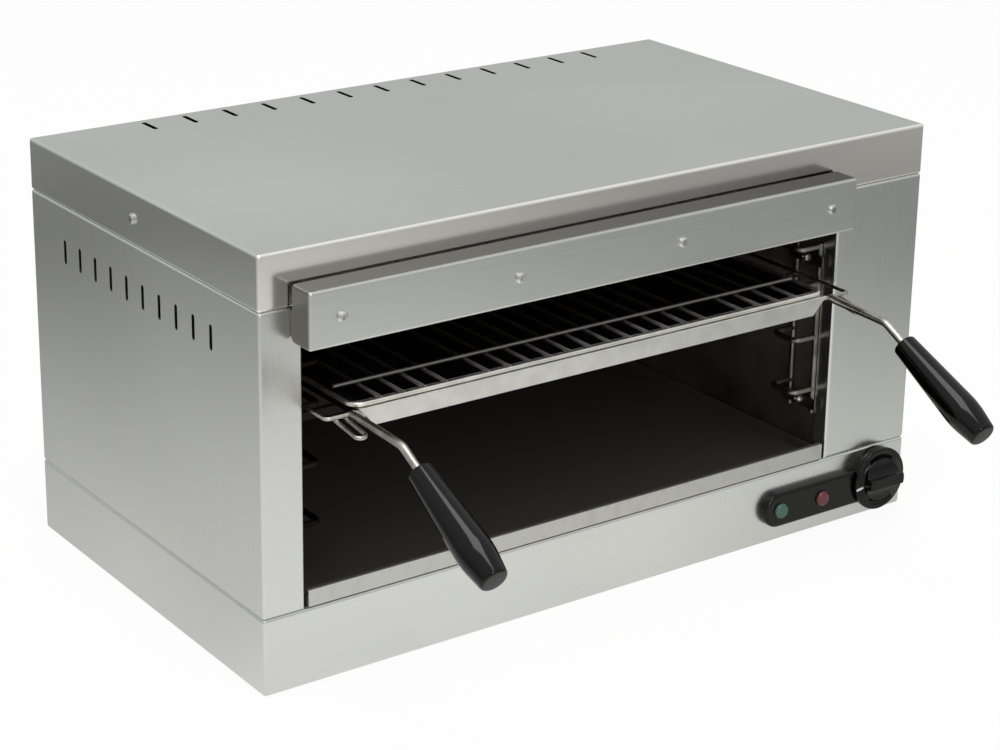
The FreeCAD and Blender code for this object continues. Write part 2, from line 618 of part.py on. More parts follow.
def make_top_cover():
    cover = body("top_cover")
    outer = sketch(cover, "cover_outer", "XY_Plane", LID_BOTTOM)
    rectangle(outer, ("-body_width / 2", "-body_depth / 2"), ("body_width / 2", "body_depth / 2"))
    shell = pad(cover, outer, "lid_height")
    round_edges(cover, shell, lambda middle, along: True, "fold_radius")
    inner = sketch(cover, "cover_inner", "XY_Plane", "body_height - steel")
    rectangle(inner, ("steel - body_width / 2", "steel - body_depth / 2"),
              ("body_width / 2 - steel", "body_depth / 2 - steel"))
    pocket(cover, inner, "lid_height - 2 * steel")
    window = sketch(cover, "cover_window", "XY_Plane", LID_BOTTOM + " + steel")
    rectangle(window, ("flange - body_width / 2", "flange - body_depth / 2"),
              ("body_width / 2 - flange", "body_depth / 2 - flange"))
    pocket(cover, window, "steel")
    for name, low, high in bracket_notches():
        notch = sketch(cover, name, "XY_Plane", LID_BOTTOM + " + steel")
        rectangle(notch, low, high)
        pocket(cover, notch, "steel + overrun")
    screw_up = LID_BOTTOM + " + lid_height / 2"
    sides = sketch(cover, "cover_side_holes", "YZ_Plane", "-body_width / 2 - overrun")
    circle(sides, "cover_screw_shift", screw_up, "screw_shank + screw_hole_gap")
    pocket(cover, sides, "body_width + 2 * overrun", reverse=True)
    rear = sketch(cover, "cover_rear_holes", "XZ_Plane", "2 * steel - body_depth / 2")
    for side in "-+":
        circle(rear, "%s(body_width / 2 - cover_screw_inset)" % side, screw_up,
               "screw_shank + screw_hole_gap")
    pocket(cover, rear, "3 * steel")
    vents = sketch(cover, "cover_vents", "XY_Plane", "body_height")
    first = "top_slot_shift - top_slot_pitch * (top_slot_count - 1) / 2"
    slot(vents, first, "body_depth / 2 - top_slot_from_back", "top_slot_long", "slot_wide")
    cut = pocket(cover, vents, "2 * steel")
    row_of(cover, cut, vents, "H_Axis", "top_slot_pitch", "top_slot_count")


def make_header():
    """The rail between the pillars that the hood is screwed to."""
    low_face = (OPEN_LEFT, "-body_depth / 2", LID_BOTTOM + " - header_height")
    high_face = (OPEN_RIGHT, "steel - body_depth / 2", LID_BOTTOM)
    face = block("header_face", low_face, high_face)
    shelf = block("header_shelf_plate", (OPEN_LEFT, "-body_depth / 2", LID_BOTTOM + " - steel"),
                  (OPEN_RIGHT, "header_shelf - body_depth / 2", LID_BOTTOM))
    lip = block("header_lip_plate", (OPEN_LEFT, "-body_depth / 2", LID_BOTTOM + " - header_height"),
                (OPEN_RIGHT, "header_lip - body_depth / 2", LID_BOTTOM + " - header_height + steel"))
    rail = joined("header_rail", [face, shelf, lip])
    tools = []
    for number, across in enumerate(hood_screw_across):
        tools.append(feature_tool("header_hole_%d" % number, hole(Vector(across, front_face, hood_screw_up),
                                                                  FRONT, S.steel)))
    keep("front_header", cut_from("front_header", rail, tools))


# Hood: the folded heat guard over the top of the opening

def make_hood():
    """A shallow pressed channel on spacers. Below the lid its side flanges reach back to the casing."""
    hood = body("hood")
    left, right = OPEN_LEFT + " - hood_lap", OPEN_RIGHT + " - hood_short"
    top = HOOD_BOTTOM + " + hood_height"
    upper_rear = "(hood_flange - hood_out - body_depth / 2)"
    lower_rear = "(-hood_seat_gap - body_depth / 2)"
    outer = sketch(hood, "hood_outer", "XZ_Plane", "body_depth / 2 + hood_out")
    rectangle(outer, (left, HOOD_BOTTOM), (right, top))
    shell = pad(hood, outer, "hood_out - hood_seat_gap", reverse=True)
    rear = front_face - S.hood_seat_gap - S.fit_gap
    round_edges(hood, shell, lambda middle, along: middle.y < rear, "fold_radius")
    inner = sketch(hood, "hood_inner", "XZ_Plane", "body_depth / 2 + hood_out - steel")
    rectangle(inner, (left + " + steel", HOOD_BOTTOM + " + steel"), (right + " - steel", top + " - steel"))
    pocket(hood, inner, "hood_out + overrun")
    window = sketch(hood, "hood_window", "XZ_Plane", "body_depth / 2 + hood_out - hood_hem")
    low_edge, high_edge = HOOD_BOTTOM + " - steel", HOOD_BOTTOM + " + 2 * steel"
    rectangle(window, (left + " + steel", low_edge), (right + " - steel", high_edge))
    pocket(hood, window, "hood_out + overrun")
    notch = sketch(hood, "hood_notch", "XZ_Plane", "body_depth / 2 + hood_out - hood_flange")
    notch_low = LID_BOTTOM + " - hood_notch_gap"
    rectangle(notch, (left + " - overrun", notch_low), (right + " + overrun", top + " + overrun"))
    pocket(hood, notch, "hood_out + overrun")
    holes = sketch(hood, "hood_holes", "XZ_Plane", "body_depth / 2 + hood_out + overrun")
    circle(holes, left + " + hood_screw_inset", HOOD_BOTTOM + " + hood_height / 2",
           "screw_shank + screw_hole_gap")
    cut = pocket(hood, holes, "steel + 2 * overrun")
    pitch = "((%s) - (%s) - 2 * hood_screw_inset) / (hood_screw_count - 1)" % (right, left)
    row_of(hood, cut, holes, "H_Axis", pitch, "hood_screw_count")
    low_corner = sketch(hood, "hood_low_corners", "YZ_Plane", left + " - overrun")
    corner_cut(low_corner, (lower_rear, HOOD_BOTTOM), (-1, 1), "hood_corner")
    pocket(hood, low_corner, "body_width", reverse=True)
    for name, start in (("hood_high_corner_left", left + " - overrun"),
                        ("hood_high_corner_right", right + " - steel")):
        high_corner = sketch(hood, name, "YZ_Plane", start)
        corner_cut(high_corner, (upper_rear, top), (-1, -1), "hood_top_corner")
        pocket(hood, high_corner, "steel + overrun", reverse=True)
    for name, end, inward in (("hood_top_left", left, 1), ("hood_top_right", right, -1)):
        flange_corner = sketch(hood, name, "XY_Plane", top + " + overrun")
        corner_cut(flange_corner, (end, upper_rear), (inward, -1), "hood_top_corner")
        pocket(hood, flange_corner, "steel + overrun")


def make_hood_fixings():
    inner_face = front_face - S.hood_out + S.steel
    tubes = []
    for across in hood_screw_across:
        tube = Part.makeCylinder(S.spacer_radius, front_face - inner_face,
                                 Vector(across, inner_face, hood_screw_up), BACK)
        start = Vector(across, inner_face - S.overrun, hood_screw_up)
        bore = Part.makeCylinder(S.screw_shank + S.screw_hole_gap, S.hood_out + 2 * S.overrun, start, BACK)
        tubes.append(tube.cut(bore))
    feature("hood_spacers", Part.makeCompound(tubes))
    outer_face = front_face - S.hood_out
    places = [Vector(x, outer_face, hood_screw_up) for x in hood_screw_across]
    screws("hood_screws", places, FRONT, S.hood_out + S.steel + S.overrun)


# Cavity: liners, floor, reflector and the heating elements

def make_liners(clip_places):
    side_low, side_high = "base_height + steel", REFLECTOR
    front = "liner_start - body_depth / 2"
    back = "liner_start + liner_depth - body_depth / 2"
    left = block("liner_left_sheet", (OPEN_LEFT + " - steel - thin_steel", front, side_low),
                 (OPEN_LEFT + " - steel", back + " + thin_steel", side_high))
    right = block("liner_right_sheet", (OPEN_RIGHT + " + steel", front, side_low),
                  (OPEN_RIGHT + " + steel + thin_steel", back + " + thin_steel", side_high))
    left_holes = [feature_tool("left_hole_%d" % i, hole(p, RIGHT,
                                                        S.clip_thick + S.thin_steel + 2 * S.support_wire))
                  for i, p in enumerate(clip_places["left"])]
    keep("liner_left", cut_from("liner_left", left, left_holes))
    right_holes = [feature_tool("right_hole_%d" % i, hole(p, LEFT,
                                                          S.clip_thick + S.thin_steel + 2 * S.support_wire))
                   for i, p in enumerate(clip_places["right"])]
    for i, place in enumerate(element_leg_places()):
        tool = Part.makeCylinder(S.element_radius + S.element_hole_gap, S.flange,
                                 place - RIGHT * (S.flange / 2), RIGHT)
        right_holes.append(feature_tool("element_hole_%d" % i, tool))
    keep("liner_right", cut_from("liner_right", right, right_holes))
    keep("liner_back", block("liner_back", (OPEN_LEFT + " - steel", back, side_low),
                             (OPEN_RIGHT + " + steel", back + " + thin_steel", side_high)))
    keep("cavity_floor", block("cavity_floor", (OPEN_LEFT, front, "base_height"),
                               (OPEN_RIGHT, back + " + thin_steel", "base_height + thin_steel")))


def make_reflector():
    """A plate over the elements. Its end folds rise between the side panels' top flanges."""
    front = "header_shelf - body_depth / 2 + seat_gap"
    back = "liner_start + liner_depth - body_depth / 2 + thin_steel"
    left, right = OPEN_LEFT + " - steel - thin_steel", OPEN_RIGHT + " + steel + thin_steel"
    fold_left, fold_right = OPEN_LEFT + " + seat_gap", OPEN_RIGHT + " - seat_gap"
    plate = block("reflector_sheet", (left, front, REFLECTOR), (right, back, REFLECTOR + " + thin_steel"))
    rise = REFLECTOR + " + reflector_upstand"
    near_high = (fold_right, front + " + thin_steel", rise)
    near = block("reflector_front_fold", (fold_left, front, REFLECTOR), near_high)
    far_low = (fold_left, back + " - thin_steel", REFLECTOR)
    far = block("reflector_back_fold", far_low, (fold_right, back, rise))
    keep("reflector_plate", joined("reflector_plate", [plate, near, far]))


def element_leg_places():
    """Where each element's two legs pass through the right-hand liner."""
    places = []
    for back in element_back:
        for offset in (-S.element_span / 2, S.element_span / 2):
            places.append(Vector(liner_right, back + offset, element_up))
    return places


def make_elements():
    tail = liner_right + S.element_tail
    far = liner_left + S.element_end_gap
    names = ("heating_element_front", "heating_element_middle", "heating_element_rear")
    studs = []
    plates = []
    for name, back in zip(names, element_back):
        near_leg, far_leg = back - S.element_span / 2, back + S.element_span / 2
        points = [Vector(tail, near_leg, element_up), Vector(far, near_leg, element_up),
                  Vector(far, far_leg, element_up), Vector(tail, far_leg, element_up)]
        feature(name, bent_rod(points, S.element_radius, S.element_bend))
        outer = liner_right + S.thin_steel
        plate = Part.makeBox(S.steel, S.element_span + 2 * S.flange_plate_margin, S.flange_plate_high,
                             Vector(outer, near_leg - S.flange_plate_margin,
                                    element_up - S.flange_plate_high / 2))
        for leg in (near_leg, far_leg):
            plate = plate.cut(Part.makeCylinder(S.element_radius + S.element_hole_gap, S.flange,
                                                Vector(outer - S.overrun, leg, element_up), RIGHT))
            studs.append(Part.makeCylinder(S.terminal_radius, S.terminal_long, Vector(tail, leg, element_up),
                                           RIGHT))
        plates.append(plate)
    feature("element_flanges", Part.makeCompound(plates))
    feature("element_terminals", Part.makeCompound(studs))


def make_hangers():
    """Two hole strips under the reflector that carry the elements."""
    front = element_back[0] - S.element_span / 2 - S.hanger_margin
    back = element_back[-1] + S.element_span / 2 + S.hanger_margin
    for name, across in (("element_hanger_left", liner_left + S.hanger_inset),
                         ("element_hanger_right", liner_right - S.hanger_inset)):
        strip = Part.makeBox(S.steel, back - front, S.hanger_height,
                             Vector(across, front, reflector_up - S.hanger_height))
        foot = Part.makeBox(S.hanger_foot, back - front, S.steel,
                            Vector(across, front, reflector_up - S.steel))
        made = strip.fuse(foot)
        for place in element_leg_places():
            start = Vector(across - S.overrun, place.y, element_up)
            made = made.cut(Part.makeCylinder(S.element_radius + S.element_hole_gap, S.steel + 2 * S.overrun,
                                              start, RIGHT))
        feature(name, made)


def make_crumb_tray():
    tray = body("crumb_tray")
    left, right = OPEN_LEFT + " + tray_clear_left", OPEN_RIGHT + " - tray_clear_right"
    floor = "base_height + thin_steel + tray_gap"
    front = "-body_depth / 2"
    back = "liner_start + liner_depth - body_depth / 2 - tray_back_gap"
    outer = sketch(tray, "tray_outer", "XY_Plane", floor)
    rectangle(outer, (left, front), (right, back))
    pad(tray, outer, "tray_wall")
    inner = sketch(tray, "tray_inner", "XY_Plane", floor + " + tray_wall")
    rectangle(inner, (left + " + thin_steel", front + " + thin_steel"),
              (right + " - thin_steel", back + " - thin_steel"))
    pocket(tray, inner, "tray_wall - thin_steel")
    lip = sketch(tray, "tray_lip_face", "XZ_Plane", "body_depth / 2")
    rectangle(lip, (left, floor), (right, floor + " + tray_lip"))
    pad(tray, lip, "thin_steel", reverse=True)
    hem = sketch(tray, "tray_hem", "XY_Plane", floor + " + tray_lip")
    rectangle(hem, (left, front), (right, front + " + tray_hem"))
    pad(tray, hem, "thin_steel", reverse=True)


# Shelf supports: short wire ladders on the cavity's side walls

def ladder_shape(side, near):
    """Two uprights joined by flat loops, one loop a level and a guard loop on top."""
    wall = (liner_right if side > 0 else liner_left) - side * S.support_wire
    reach = wall - side * S.support_reach
    far = near + S.support_pair
    low = S.base_height + S.support_foot_above_base
    guard = shelf_level + S.guard_above_level
    made = straight_rod(Vector(wall, near, low), Vector(wall, near, guard + S.support_wire), S.support_wire)
    others = [straight_rod(Vector(wall, far, low), Vector(wall, far, guard + S.support_wire),
                           S.support_wire)]
    for up in levels + [guard]:
        points = [Vector(wall, near, up), Vector(reach, near, up), Vector(reach, far, up),
                  Vector(wall, far, up)]
        others.append(bent_rod(points, S.support_wire, S.support_corner))
    return made.fuse(others).removeSplitter()


def clip_heights():
    low = S.base_height + S.support_foot_above_base + S.clip_low_gap
    high = shelf_level + S.guard_above_level - S.clip_high_gap
    return (low, high)


def support_fronts():
    first = front_face + S.support_front
    return {"front": first, "rear": first + S.support_apart}


def make_shelf_supports():
    clip_places = {"left": [], "right": []}
    clips, heads = [], []
    for side_name, side in (("left", -1), ("right", 1)):
        wall = liner_right if side > 0 else liner_left
        inward = -RIGHT * side
        for end_name, near in support_fronts().items():
            feature("shelf_support_%s_%s" % (end_name, side_name), ladder_shape(side, near))
            middle = near + S.support_pair / 2
            for up in clip_heights():
                seat = wall - side * 2 * S.support_wire
                low = Vector(min(seat, seat - side * S.clip_thick), middle - S.clip_long / 2,
                             up - S.clip_high / 2)
                plate = Part.makeBox(S.clip_thick, S.clip_long, S.clip_high, low)
                face = Vector(seat - side * S.clip_thick, middle, up)
                clips.append(plate.cut(hole(face, inward, S.clip_thick)))
                clip_places[side_name].append(face)
                heads.append(screw_shape(face, inward,
                                         S.clip_thick + 2 * S.support_wire + S.thin_steel + S.overrun))
    feature("support_clips", Part.makeCompound(clips))
    feature("support_screws", Part.makeCompound(heads))
    return clip_places


# Carrier: the wire frame that slides on the supports, with its two handles

def make_carrier_frame():
    left, right = open_middle - carrier_half, open_middle + carrier_half
    front_half = [Vector(left, 0, carrier_up), Vector(left, carrier_front, carrier_up),
                  Vector(right, carrier_front, carrier_up), Vector(right, 0, carrier_up)]
    back_half = [Vector(left, 0, carrier_up), Vector(left, carrier_back, carrier_up),
                 Vector(right, carrier_back, carrier_up), Vector(right, 0, carrier_up)]
    members = [bent_rod(back_half, S.carrier_wire, S.carrier_corner)]
    for side in (-1, 1):
        near = open_middle + side * (handle_half + S.handle_rod + S.stay_wire)
        far = near + side * S.stay_wide
        under = carrier_up - S.carrier_wire - S.stay_wire + S.stay_sink
        tip = Vector(0, -S.stay_long, -S.stay_drop)
        points = [Vector(near, carrier_front + S.carrier_wire, under),
                  Vector(near, carrier_front, under) + tip,
                  Vector(far, carrier_front, under) + tip, Vector(far, carrier_front + S.carrier_wire,
                                                                  under)]
        members.append(bent_rod(points, S.stay_wire, S.stay_bend))
    made = bent_rod(front_half, S.carrier_wire, S.carrier_corner)
    feature("carrier_frame", made.fuse(members).removeSplitter())


def handle_path():
    """The handle rod's centre line in its own plane, as (y, z), with the two slopes."""
    droop = math.radians(S.rod_droop_angle)
    slope = math.radians(S.rod_bend_angle)
    start_y = carrier_front - S.carrier_wire - S.weld_gap
    bend_y = start_y - S.rod_run * math.cos(droop)
    bend_z = carrier_up - S.rod_run * math.sin(droop)
    total = S.rod_neck + S.rod_in_grip
    end_y = bend_y - total * math.cos(slope)
    end_z = bend_z - total * math.sin(slope)
    return (start_y, carrier_up), (bend_y, bend_z), (end_y, end_z)


def make_handles():
    slope = math.radians(S.rod_bend_angle)
    start, bend, end = handle_path()
    neck_y = bend[0] - S.rod_neck * math.cos(slope)
    neck_z = bend[1] - S.rod_neck * math.sin(slope)
    down_handle = Rotation(UP, Vector(0, -math.cos(slope), -math.sin(slope)))
    for side_name, side in (("left", -1), ("right", 1)):
        across = open_middle + side * handle_half
        points = [Vector(across, y, z) for y, z in (start, bend, end)]
        feature("handle_rod_" + side_name, bent_rod(points, S.handle_rod, S.rod_bend_radius))
        revolve("handle_grip_" + side_name, [
            ("handle_rod + grip_bore_gap", "0"),
            ("grip_start - grip_edge", "0"), ("grip_start", "grip_edge"),
            ("grip_belly", "grip_belly_along"), ("grip_end", "grip_long"), ("0", "grip_long"),
            ("0", "rod_in_grip + fit_gap"), ("handle_rod + grip_bore_gap", "rod_in_grip + fit_gap"),
        ], Vector(across, neck_y, neck_z), down_handle, [("grip_belly_along", "grip_blend"), ("grip_long",
                                                                                              "grip_round")])


# Drip pan: a shallow tray hooked over the carrier's front and back wires

def make_drip_pan():
    thick = S.pan_thick
    top = pan_top
    ledge_low = top - thick
    half = pan_half
    lip_front = carrier_front - S.carrier_wire - S.running_gap - thick
    lip_back = carrier_back + S.carrier_wire + S.running_gap + thick
    in_front = carrier_front + S.carrier_wire + S.pan_ledge
    in_back = carrier_back - S.carrier_wire - S.pan_ledge
    floor = top - S.pan_deep

    def prism(low_y, high_y, low_z, high_z, side_half):
        return Part.makeBox(2 * side_half, high_y - low_y, high_z - low_z,
                            Vector(open_middle - side_half, low_y, low_z))

    rim = prism(lip_front, lip_back, ledge_low, top, half)
    well = prism(in_front, in_back, floor, top, half - S.pan_side_ledge)
    hollow = prism(in_front + thick, in_back - thick, floor + thick, top + S.overrun,
                   half - S.pan_side_ledge - thick)
    made = rim.fuse(well).cut(hollow)
    for face_y, drop in ((lip_front, S.pan_lip), (lip_back - thick, S.pan_back_lip)):
        low = top - drop
        inset = S.pan_mitre * drop / S.pan_lip
        corners = [Vector(open_middle - half + inset, face_y, low),
                   Vector(open_middle + half - inset, face_y, low),
                   Vector(open_middle + half, face_y, top), Vector(open_middle - half, face_y, top)]
        made = made.fuse(Part.Face(Part.makePolygon(corners + corners[:1])).extrude(Vector(0, thick, 0)))
    made = made.removeSplitter()
    edges = []
    for edge in made.Edges:
        box = edge.BoundBox
        at_top = abs(box.ZMin - top) < S.fit_gap and abs(box.ZMax - top) < S.fit_gap
        if at_top and box.XLength > half and box.YMax < lip_front + S.fit_gap:
            edges.append(edge)
    feature("drip_pan", made.makeFillet(S.pan_round, edges))


# Toasting rack: welded wires lying on the pan's rim

def make_toasting_rack():
    """A closed frame, straight wires that butt against it in its own plane, and cross bars welded on top."""
    middle = open_middle - S.rack_shift
    half = pan_half + S.rack_overhang
    up = pan_top + S.running_gap + S.rack_frame_wire
    front = carrier_front + S.rack_set_back
    back = front + S.rack_long
    centre = (front + back) / 2
    ends = []
    for edge in (front, back):
        points = [Vector(middle - half, centre, up), Vector(middle - half, edge, up),
                  Vector(middle + half, edge, up), Vector(middle + half, centre, up)]
        ends.append(bent_rod(points, S.rack_frame_wire, S.rack_corner))
    feature("rack_frame", ends[0].fuse(ends[1]).removeSplitter())
    wires = []
    gaps = (S.rack_gap_place, S.rack_places - 1 - S.rack_gap_place)
    pitch = 2 * (half - S.rack_wire_margin) / (S.rack_places - 1)
    for place in range(int(S.rack_places)):
        if place in gaps:
            continue
        across = middle - half + S.rack_wire_margin + place * pitch
        near = Vector(across, front + S.rack_frame_wire, up)
        far = Vector(across, back - S.rack_frame_wire, up)
        wires.append(straight_rod(near, far, S.rack_wire))
    feature("rack_wires", Part.makeCompound(wires))
    bars = []
    bar_up = up + 2 * S.rack_wire
    bar_half = half - S.rack_bar_inset
    bar_pitch = (S.rack_long - 2 * S.rack_first_bar) / (S.rack_bar_count - 1)
    for bar in range(int(S.rack_bar_count)):
        along = front + S.rack_first_bar + bar * bar_pitch
        left, right = Vector(middle - bar_half, along, bar_up), Vector(middle + bar_half, along, bar_up)
        bars.append(straight_rod(left, right, S.rack_wire))
    feature("rack_cross_bars", Part.makeCompound(bars))


# Controls: bezel, lamps, energy regulator and knob

def make_bezel():
    """A round-ended bar that swells to a boss behind the knob, drilled for its bush and lamps."""
    front = front_face - S.bezel_out
    middle = S.bezel_centre
    radius = S.bezel_height / 2
    end_across = half_width - S.bezel_left_in + radius
    low = Vector(end_across, front, middle - radius)
    made = Part.makeBox(knob_across - end_across, S.bezel_out, S.bezel_height, low)
    for across, up, round_radius in ((end_across, middle, radius), (knob_across, S.knob_up, S.boss_radius)):
        made = made.fuse(Part.makeCylinder(round_radius, S.bezel_out, Vector(across, front, up), BACK))
    made = made.removeSplitter()
    rim = [e for e in made.Edges if abs(e.BoundBox.YMax - front) < S.fit_gap]
    made = made.makeFillet(S.bezel_edge, rim)
    start = front - S.overrun
    depth = S.bezel_out + 2 * S.overrun
    lamp_bore = S.lamp_stem + S.fit_gap
    bores = [(knob_across, S.knob_up, S.nut_radius + 2 * S.seat_gap, S.overrun + S.nut_thick + S.knob_gap),
             (knob_across, S.knob_up, S.bush_radius + S.fit_gap, depth),
             (half_width - S.green_in, middle, lamp_bore, depth),
             (half_width - S.red_in, middle, lamp_bore, depth)]
    for across, up, bore, long in bores:
        made = made.cut(Part.makeCylinder(bore, long, Vector(across, start, up), BACK))
    feature("control_bezel", made)


def make_lamps():
    to_front = Rotation(UP, FRONT)
    for name, inset in (("green_lamp", S.green_in), ("red_lamp", S.red_in)):
        base = Vector(half_width - inset, front_face - S.bezel_out, S.bezel_centre)
        revolve(name, [
            ("0", "-bezel_out - lamp_long"), ("lamp_stem", "-bezel_out - lamp_long"), ("lamp_stem", "0"),
            ("lamp_radius", "0"), ("lamp_radius", "lamp_rise"), ("0", "lamp_rise"),
        ], base, to_front, [("lamp_rise", "lamp_dome")])


def tab_across(place):
    """Where one of the regulator's blade tabs stands."""
    return knob_across + (place - (S.tab_count - 1) / 2) * S.regulator_side / S.tab_count


def make_regulator():
    middle = S.knob_up
    side = S.regulator_side
    back_of_panel = front_face + S.steel
    case = Part.makeBox(side, S.regulator_deep, side, Vector(knob_across - side / 2, back_of_panel,
                                                             middle - side / 2))
    bush_front = front_face - S.bezel_out + S.knob_gap
    bush = Part.makeCylinder(S.bush_radius, back_of_panel - bush_front,
                             Vector(knob_across, bush_front, middle), BACK)
    bore = Part.makeCylinder(S.spindle_radius + S.spindle_gap,
                             S.spindle_back + back_of_panel - bush_front + S.overrun,
                             Vector(knob_across, bush_front - S.overrun, middle), BACK)
    made = case.fuse(bush).cut(bore)
    for place in range(int(S.tab_count)):
        low = Vector(tab_across(place) - S.thin_steel / 2, back_of_panel + S.regulator_deep, middle)
        tab = Part.makeBox(S.thin_steel, S.regulator_tab, S.regulator_tab, low)
        made = made.fuse(tab)
    feature("energy_regulator", made)
    nut_back = front_face - S.bezel_out + S.nut_thick + S.knob_gap
    nut = hex_prism(Vector(knob_across, nut_back - S.nut_thick, middle), BACK, S.nut_radius, S.nut_thick)
    thread_start = Vector(knob_across, nut_back - S.nut_thick - S.overrun, middle)
    thread = Part.makeCylinder(S.bush_radius + S.spindle_gap, S.nut_thick + 2 * S.overrun, thread_start,
                               BACK)
    feature("regulator_nut", nut.cut(thread))


def hex_prism(base, along, radius, length):
    """A six-sided nut blank with its corners on the given radius."""
    corners = [Vector(radius * math.cos(math.pi * i / 3), radius * math.sin(math.pi * i / 3),
                      0) for i in range(6)]
    made = Part.Face(Part.makePolygon(corners + corners[:1])).extrude(Vector(0, 0, length))
    made.Placement = Placement(base, Rotation(UP, along))
    return made


def make_knob():
    """A skirted knob: a drum scooped out above and below a finger bar, and a white mark on the skirt."""
    back = front_face - S.bezel_out - S.knob_gap
    front = back - S.knob_deep
    middle = S.knob_up
    centre = Vector(knob_across, back, middle)
    skirt = Part.makeCylinder(S.knob_skirt_radius, S.knob_skirt, centre, FRONT)
    rim = [e for e in skirt.Edges if abs(e.BoundBox.YMax - back + S.knob_skirt) < S.fit_gap]
    skirt = skirt.makeFillet(S.knob_edge, rim)
    drum = Part.makeCylinder(S.knob_radius, S.knob_deep, centre, FRONT)
    end = [e for e in drum.Edges if abs(e.BoundBox.YMax - front) < S.fit_gap]
    drum = drum.makeFillet(S.knob_edge, end)
    axis_y = front - S.knob_scoop_radius + S.knob_scoop_deep
    for side in (-1, 1):
        edge = middle + side * S.knob_bar / 2
        start = Vector(knob_across - S.knob_skirt_radius, axis_y, edge + side * S.knob_scoop_off)
        scoop = Part.makeCylinder(S.knob_scoop_radius, 2 * S.knob_skirt_radius, start, RIGHT)
        low = Vector(start.x, front - S.overrun, min(edge, edge + side * S.knob_radius))
        beyond = Part.makeBox(2 * S.knob_skirt_radius, S.knob_deep, S.knob_radius, low)
        drum = drum.cut(scoop.common(beyond))
    bore = Part.makeCylinder(S.spindle_radius + S.spindle_gap, S.knob_bore_deep, centre, FRONT)
    knob = drum.fuse(skirt).cut(bore)
    face = back - S.knob_skirt
    low = Vector(-S.pointer_start - S.pointer_long, face, -S.pointer_wide / 2)
    mark = Part.makeBox(S.pointer_long, S.pointer_deep, S.pointer_wide, low)
    mark.Placement = Placement(Vector(knob_across, 0, middle),
                               Rotation(FRONT, S.pointer_angle)).multiply(mark.Placement)
    feature("control_knob", knob.cut(mark))
    feature("knob_pointer", mark)
    spindle_long = S.knob_bore_deep + S.knob_gap + S.bezel_out + S.steel + S.spindle_back - S.fit_gap
    spindle = Part.makeCylinder(S.spindle_radius, spindle_long, centre + FRONT * S.knob_bore_deep, BACK)
    feature("regulator_spindle", spindle)


# Wiring: terminal block, cable gland and the loom in the base

def make_terminal_block():
    low = Vector(half_width - S.block_in - S.block_long / 2, half_depth - S.block_from_back,
                 S.steel + S.thin_steel)
    made = Part.makeBox(S.block_long, S.block_wide, S.block_high, low)
    pitch = S.block_long / S.block_ways
    wells = []
    for way in range(int(S.block_ways)):
        place = low + Vector(way * pitch + pitch / 2, S.block_wide / 2, S.block_high / 2)
        made = made.cut(Part.makeCylinder(S.block_hole, S.block_high, place, UP))
        wells.append(Part.makeCylinder(S.block_hole - S.fit_gap, S.block_screw_long, place, UP))
    feature("terminal_block", made)
    feature("terminal_screws", Part.makeCompound(wells))


def make_gland():
    outside = half_depth
    place = Vector(half_width - S.gland_in, outside, S.gland_up)
    wall = S.steel
    stem = Part.makeCylinder(S.gland_thread, S.gland_inner + wall, place + FRONT * (S.gland_inner + wall),
                             BACK)
    hexagon = hex_prism(place, BACK, S.gland_hex, S.gland_body)
    dome = Part.makeCone(S.gland_dome_radius, S.gland_bore + S.steel, S.gland_dome,
                         place + BACK * S.gland_body, BACK)
    bore = Part.makeCylinder(S.gland_bore,
                             S.gland_inner + wall + S.gland_body + S.gland_dome + 2 * S.overrun,
                             place + FRONT * (S.gland_inner + wall + S.overrun), BACK)
    feature("cable_gland", stem.fuse([hexagon, dome]).removeSplitter().cut(bore))
    nut = hex_prism(place + FRONT * (wall + S.gland_nut), BACK, S.gland_hex, S.gland_nut)
    thread = Part.makeCylinder(S.gland_thread, S.gland_nut + 2 * S.overrun,
                               place + FRONT * (wall + S.gland_nut + S.overrun), BACK)
    feature("gland_locknut", nut.cut(thread))


def make_loom():
    """Three supply wires from the terminal block to the regulator, and two leads up to the elements."""
    floor = S.steel + S.thin_steel
    block_front = half_depth - S.block_from_back
    block_left = half_width - S.block_in - S.block_long / 2
    block_pitch = S.block_long / S.block_ways
    tab_back = front_face + S.steel + S.regulator_deep + S.regulator_tab
    tab_up = S.knob_up + S.regulator_tab / 2
    rise = tab_back + S.loom_lead_in
    supply = []
    for way in range(int(S.loom_count)):
        start_x = block_left + way * block_pitch + block_pitch / 2
        end_x = tab_across(way)
        low = floor + S.loom_rise + way * S.loom_pitch
        turn = block_front - S.loom_turn - 2 * way * S.loom_pitch
        points = [Vector(start_x, block_front - S.fit_gap, low), Vector(start_x, turn, low),
                  Vector(end_x, turn, low), Vector(end_x, rise, low),
                  Vector(end_x, rise, tab_up), Vector(end_x, tab_back + S.fit_gap, tab_up)]
        supply.append(bent_rod(points, S.loom_wire, S.loom_bend))
    feature("wiring_loom", Part.makeCompound(supply))
    leads = []
    hole_y = front_face + S.lead_hole_back
    bus = liner_right + S.element_tail + S.terminal_long - S.lead_on_stud
    for side in (-1, 1):
        across = knob_across + side * S.loom_pitch
        top = element_up + side * (S.terminal_radius + S.loom_wire)
        last = element_back[-1] + side * S.element_span / 2
        points = [Vector(across, hole_y, tab_up + S.regulator_side / 2), Vector(across, hole_y, top),
                  Vector(bus, hole_y, top), Vector(bus, last, top)]
        leads.append(bent_rod(points, S.loom_wire, S.lead_bend))
    feature("element_leads", Part.makeCompound(leads))


# Building

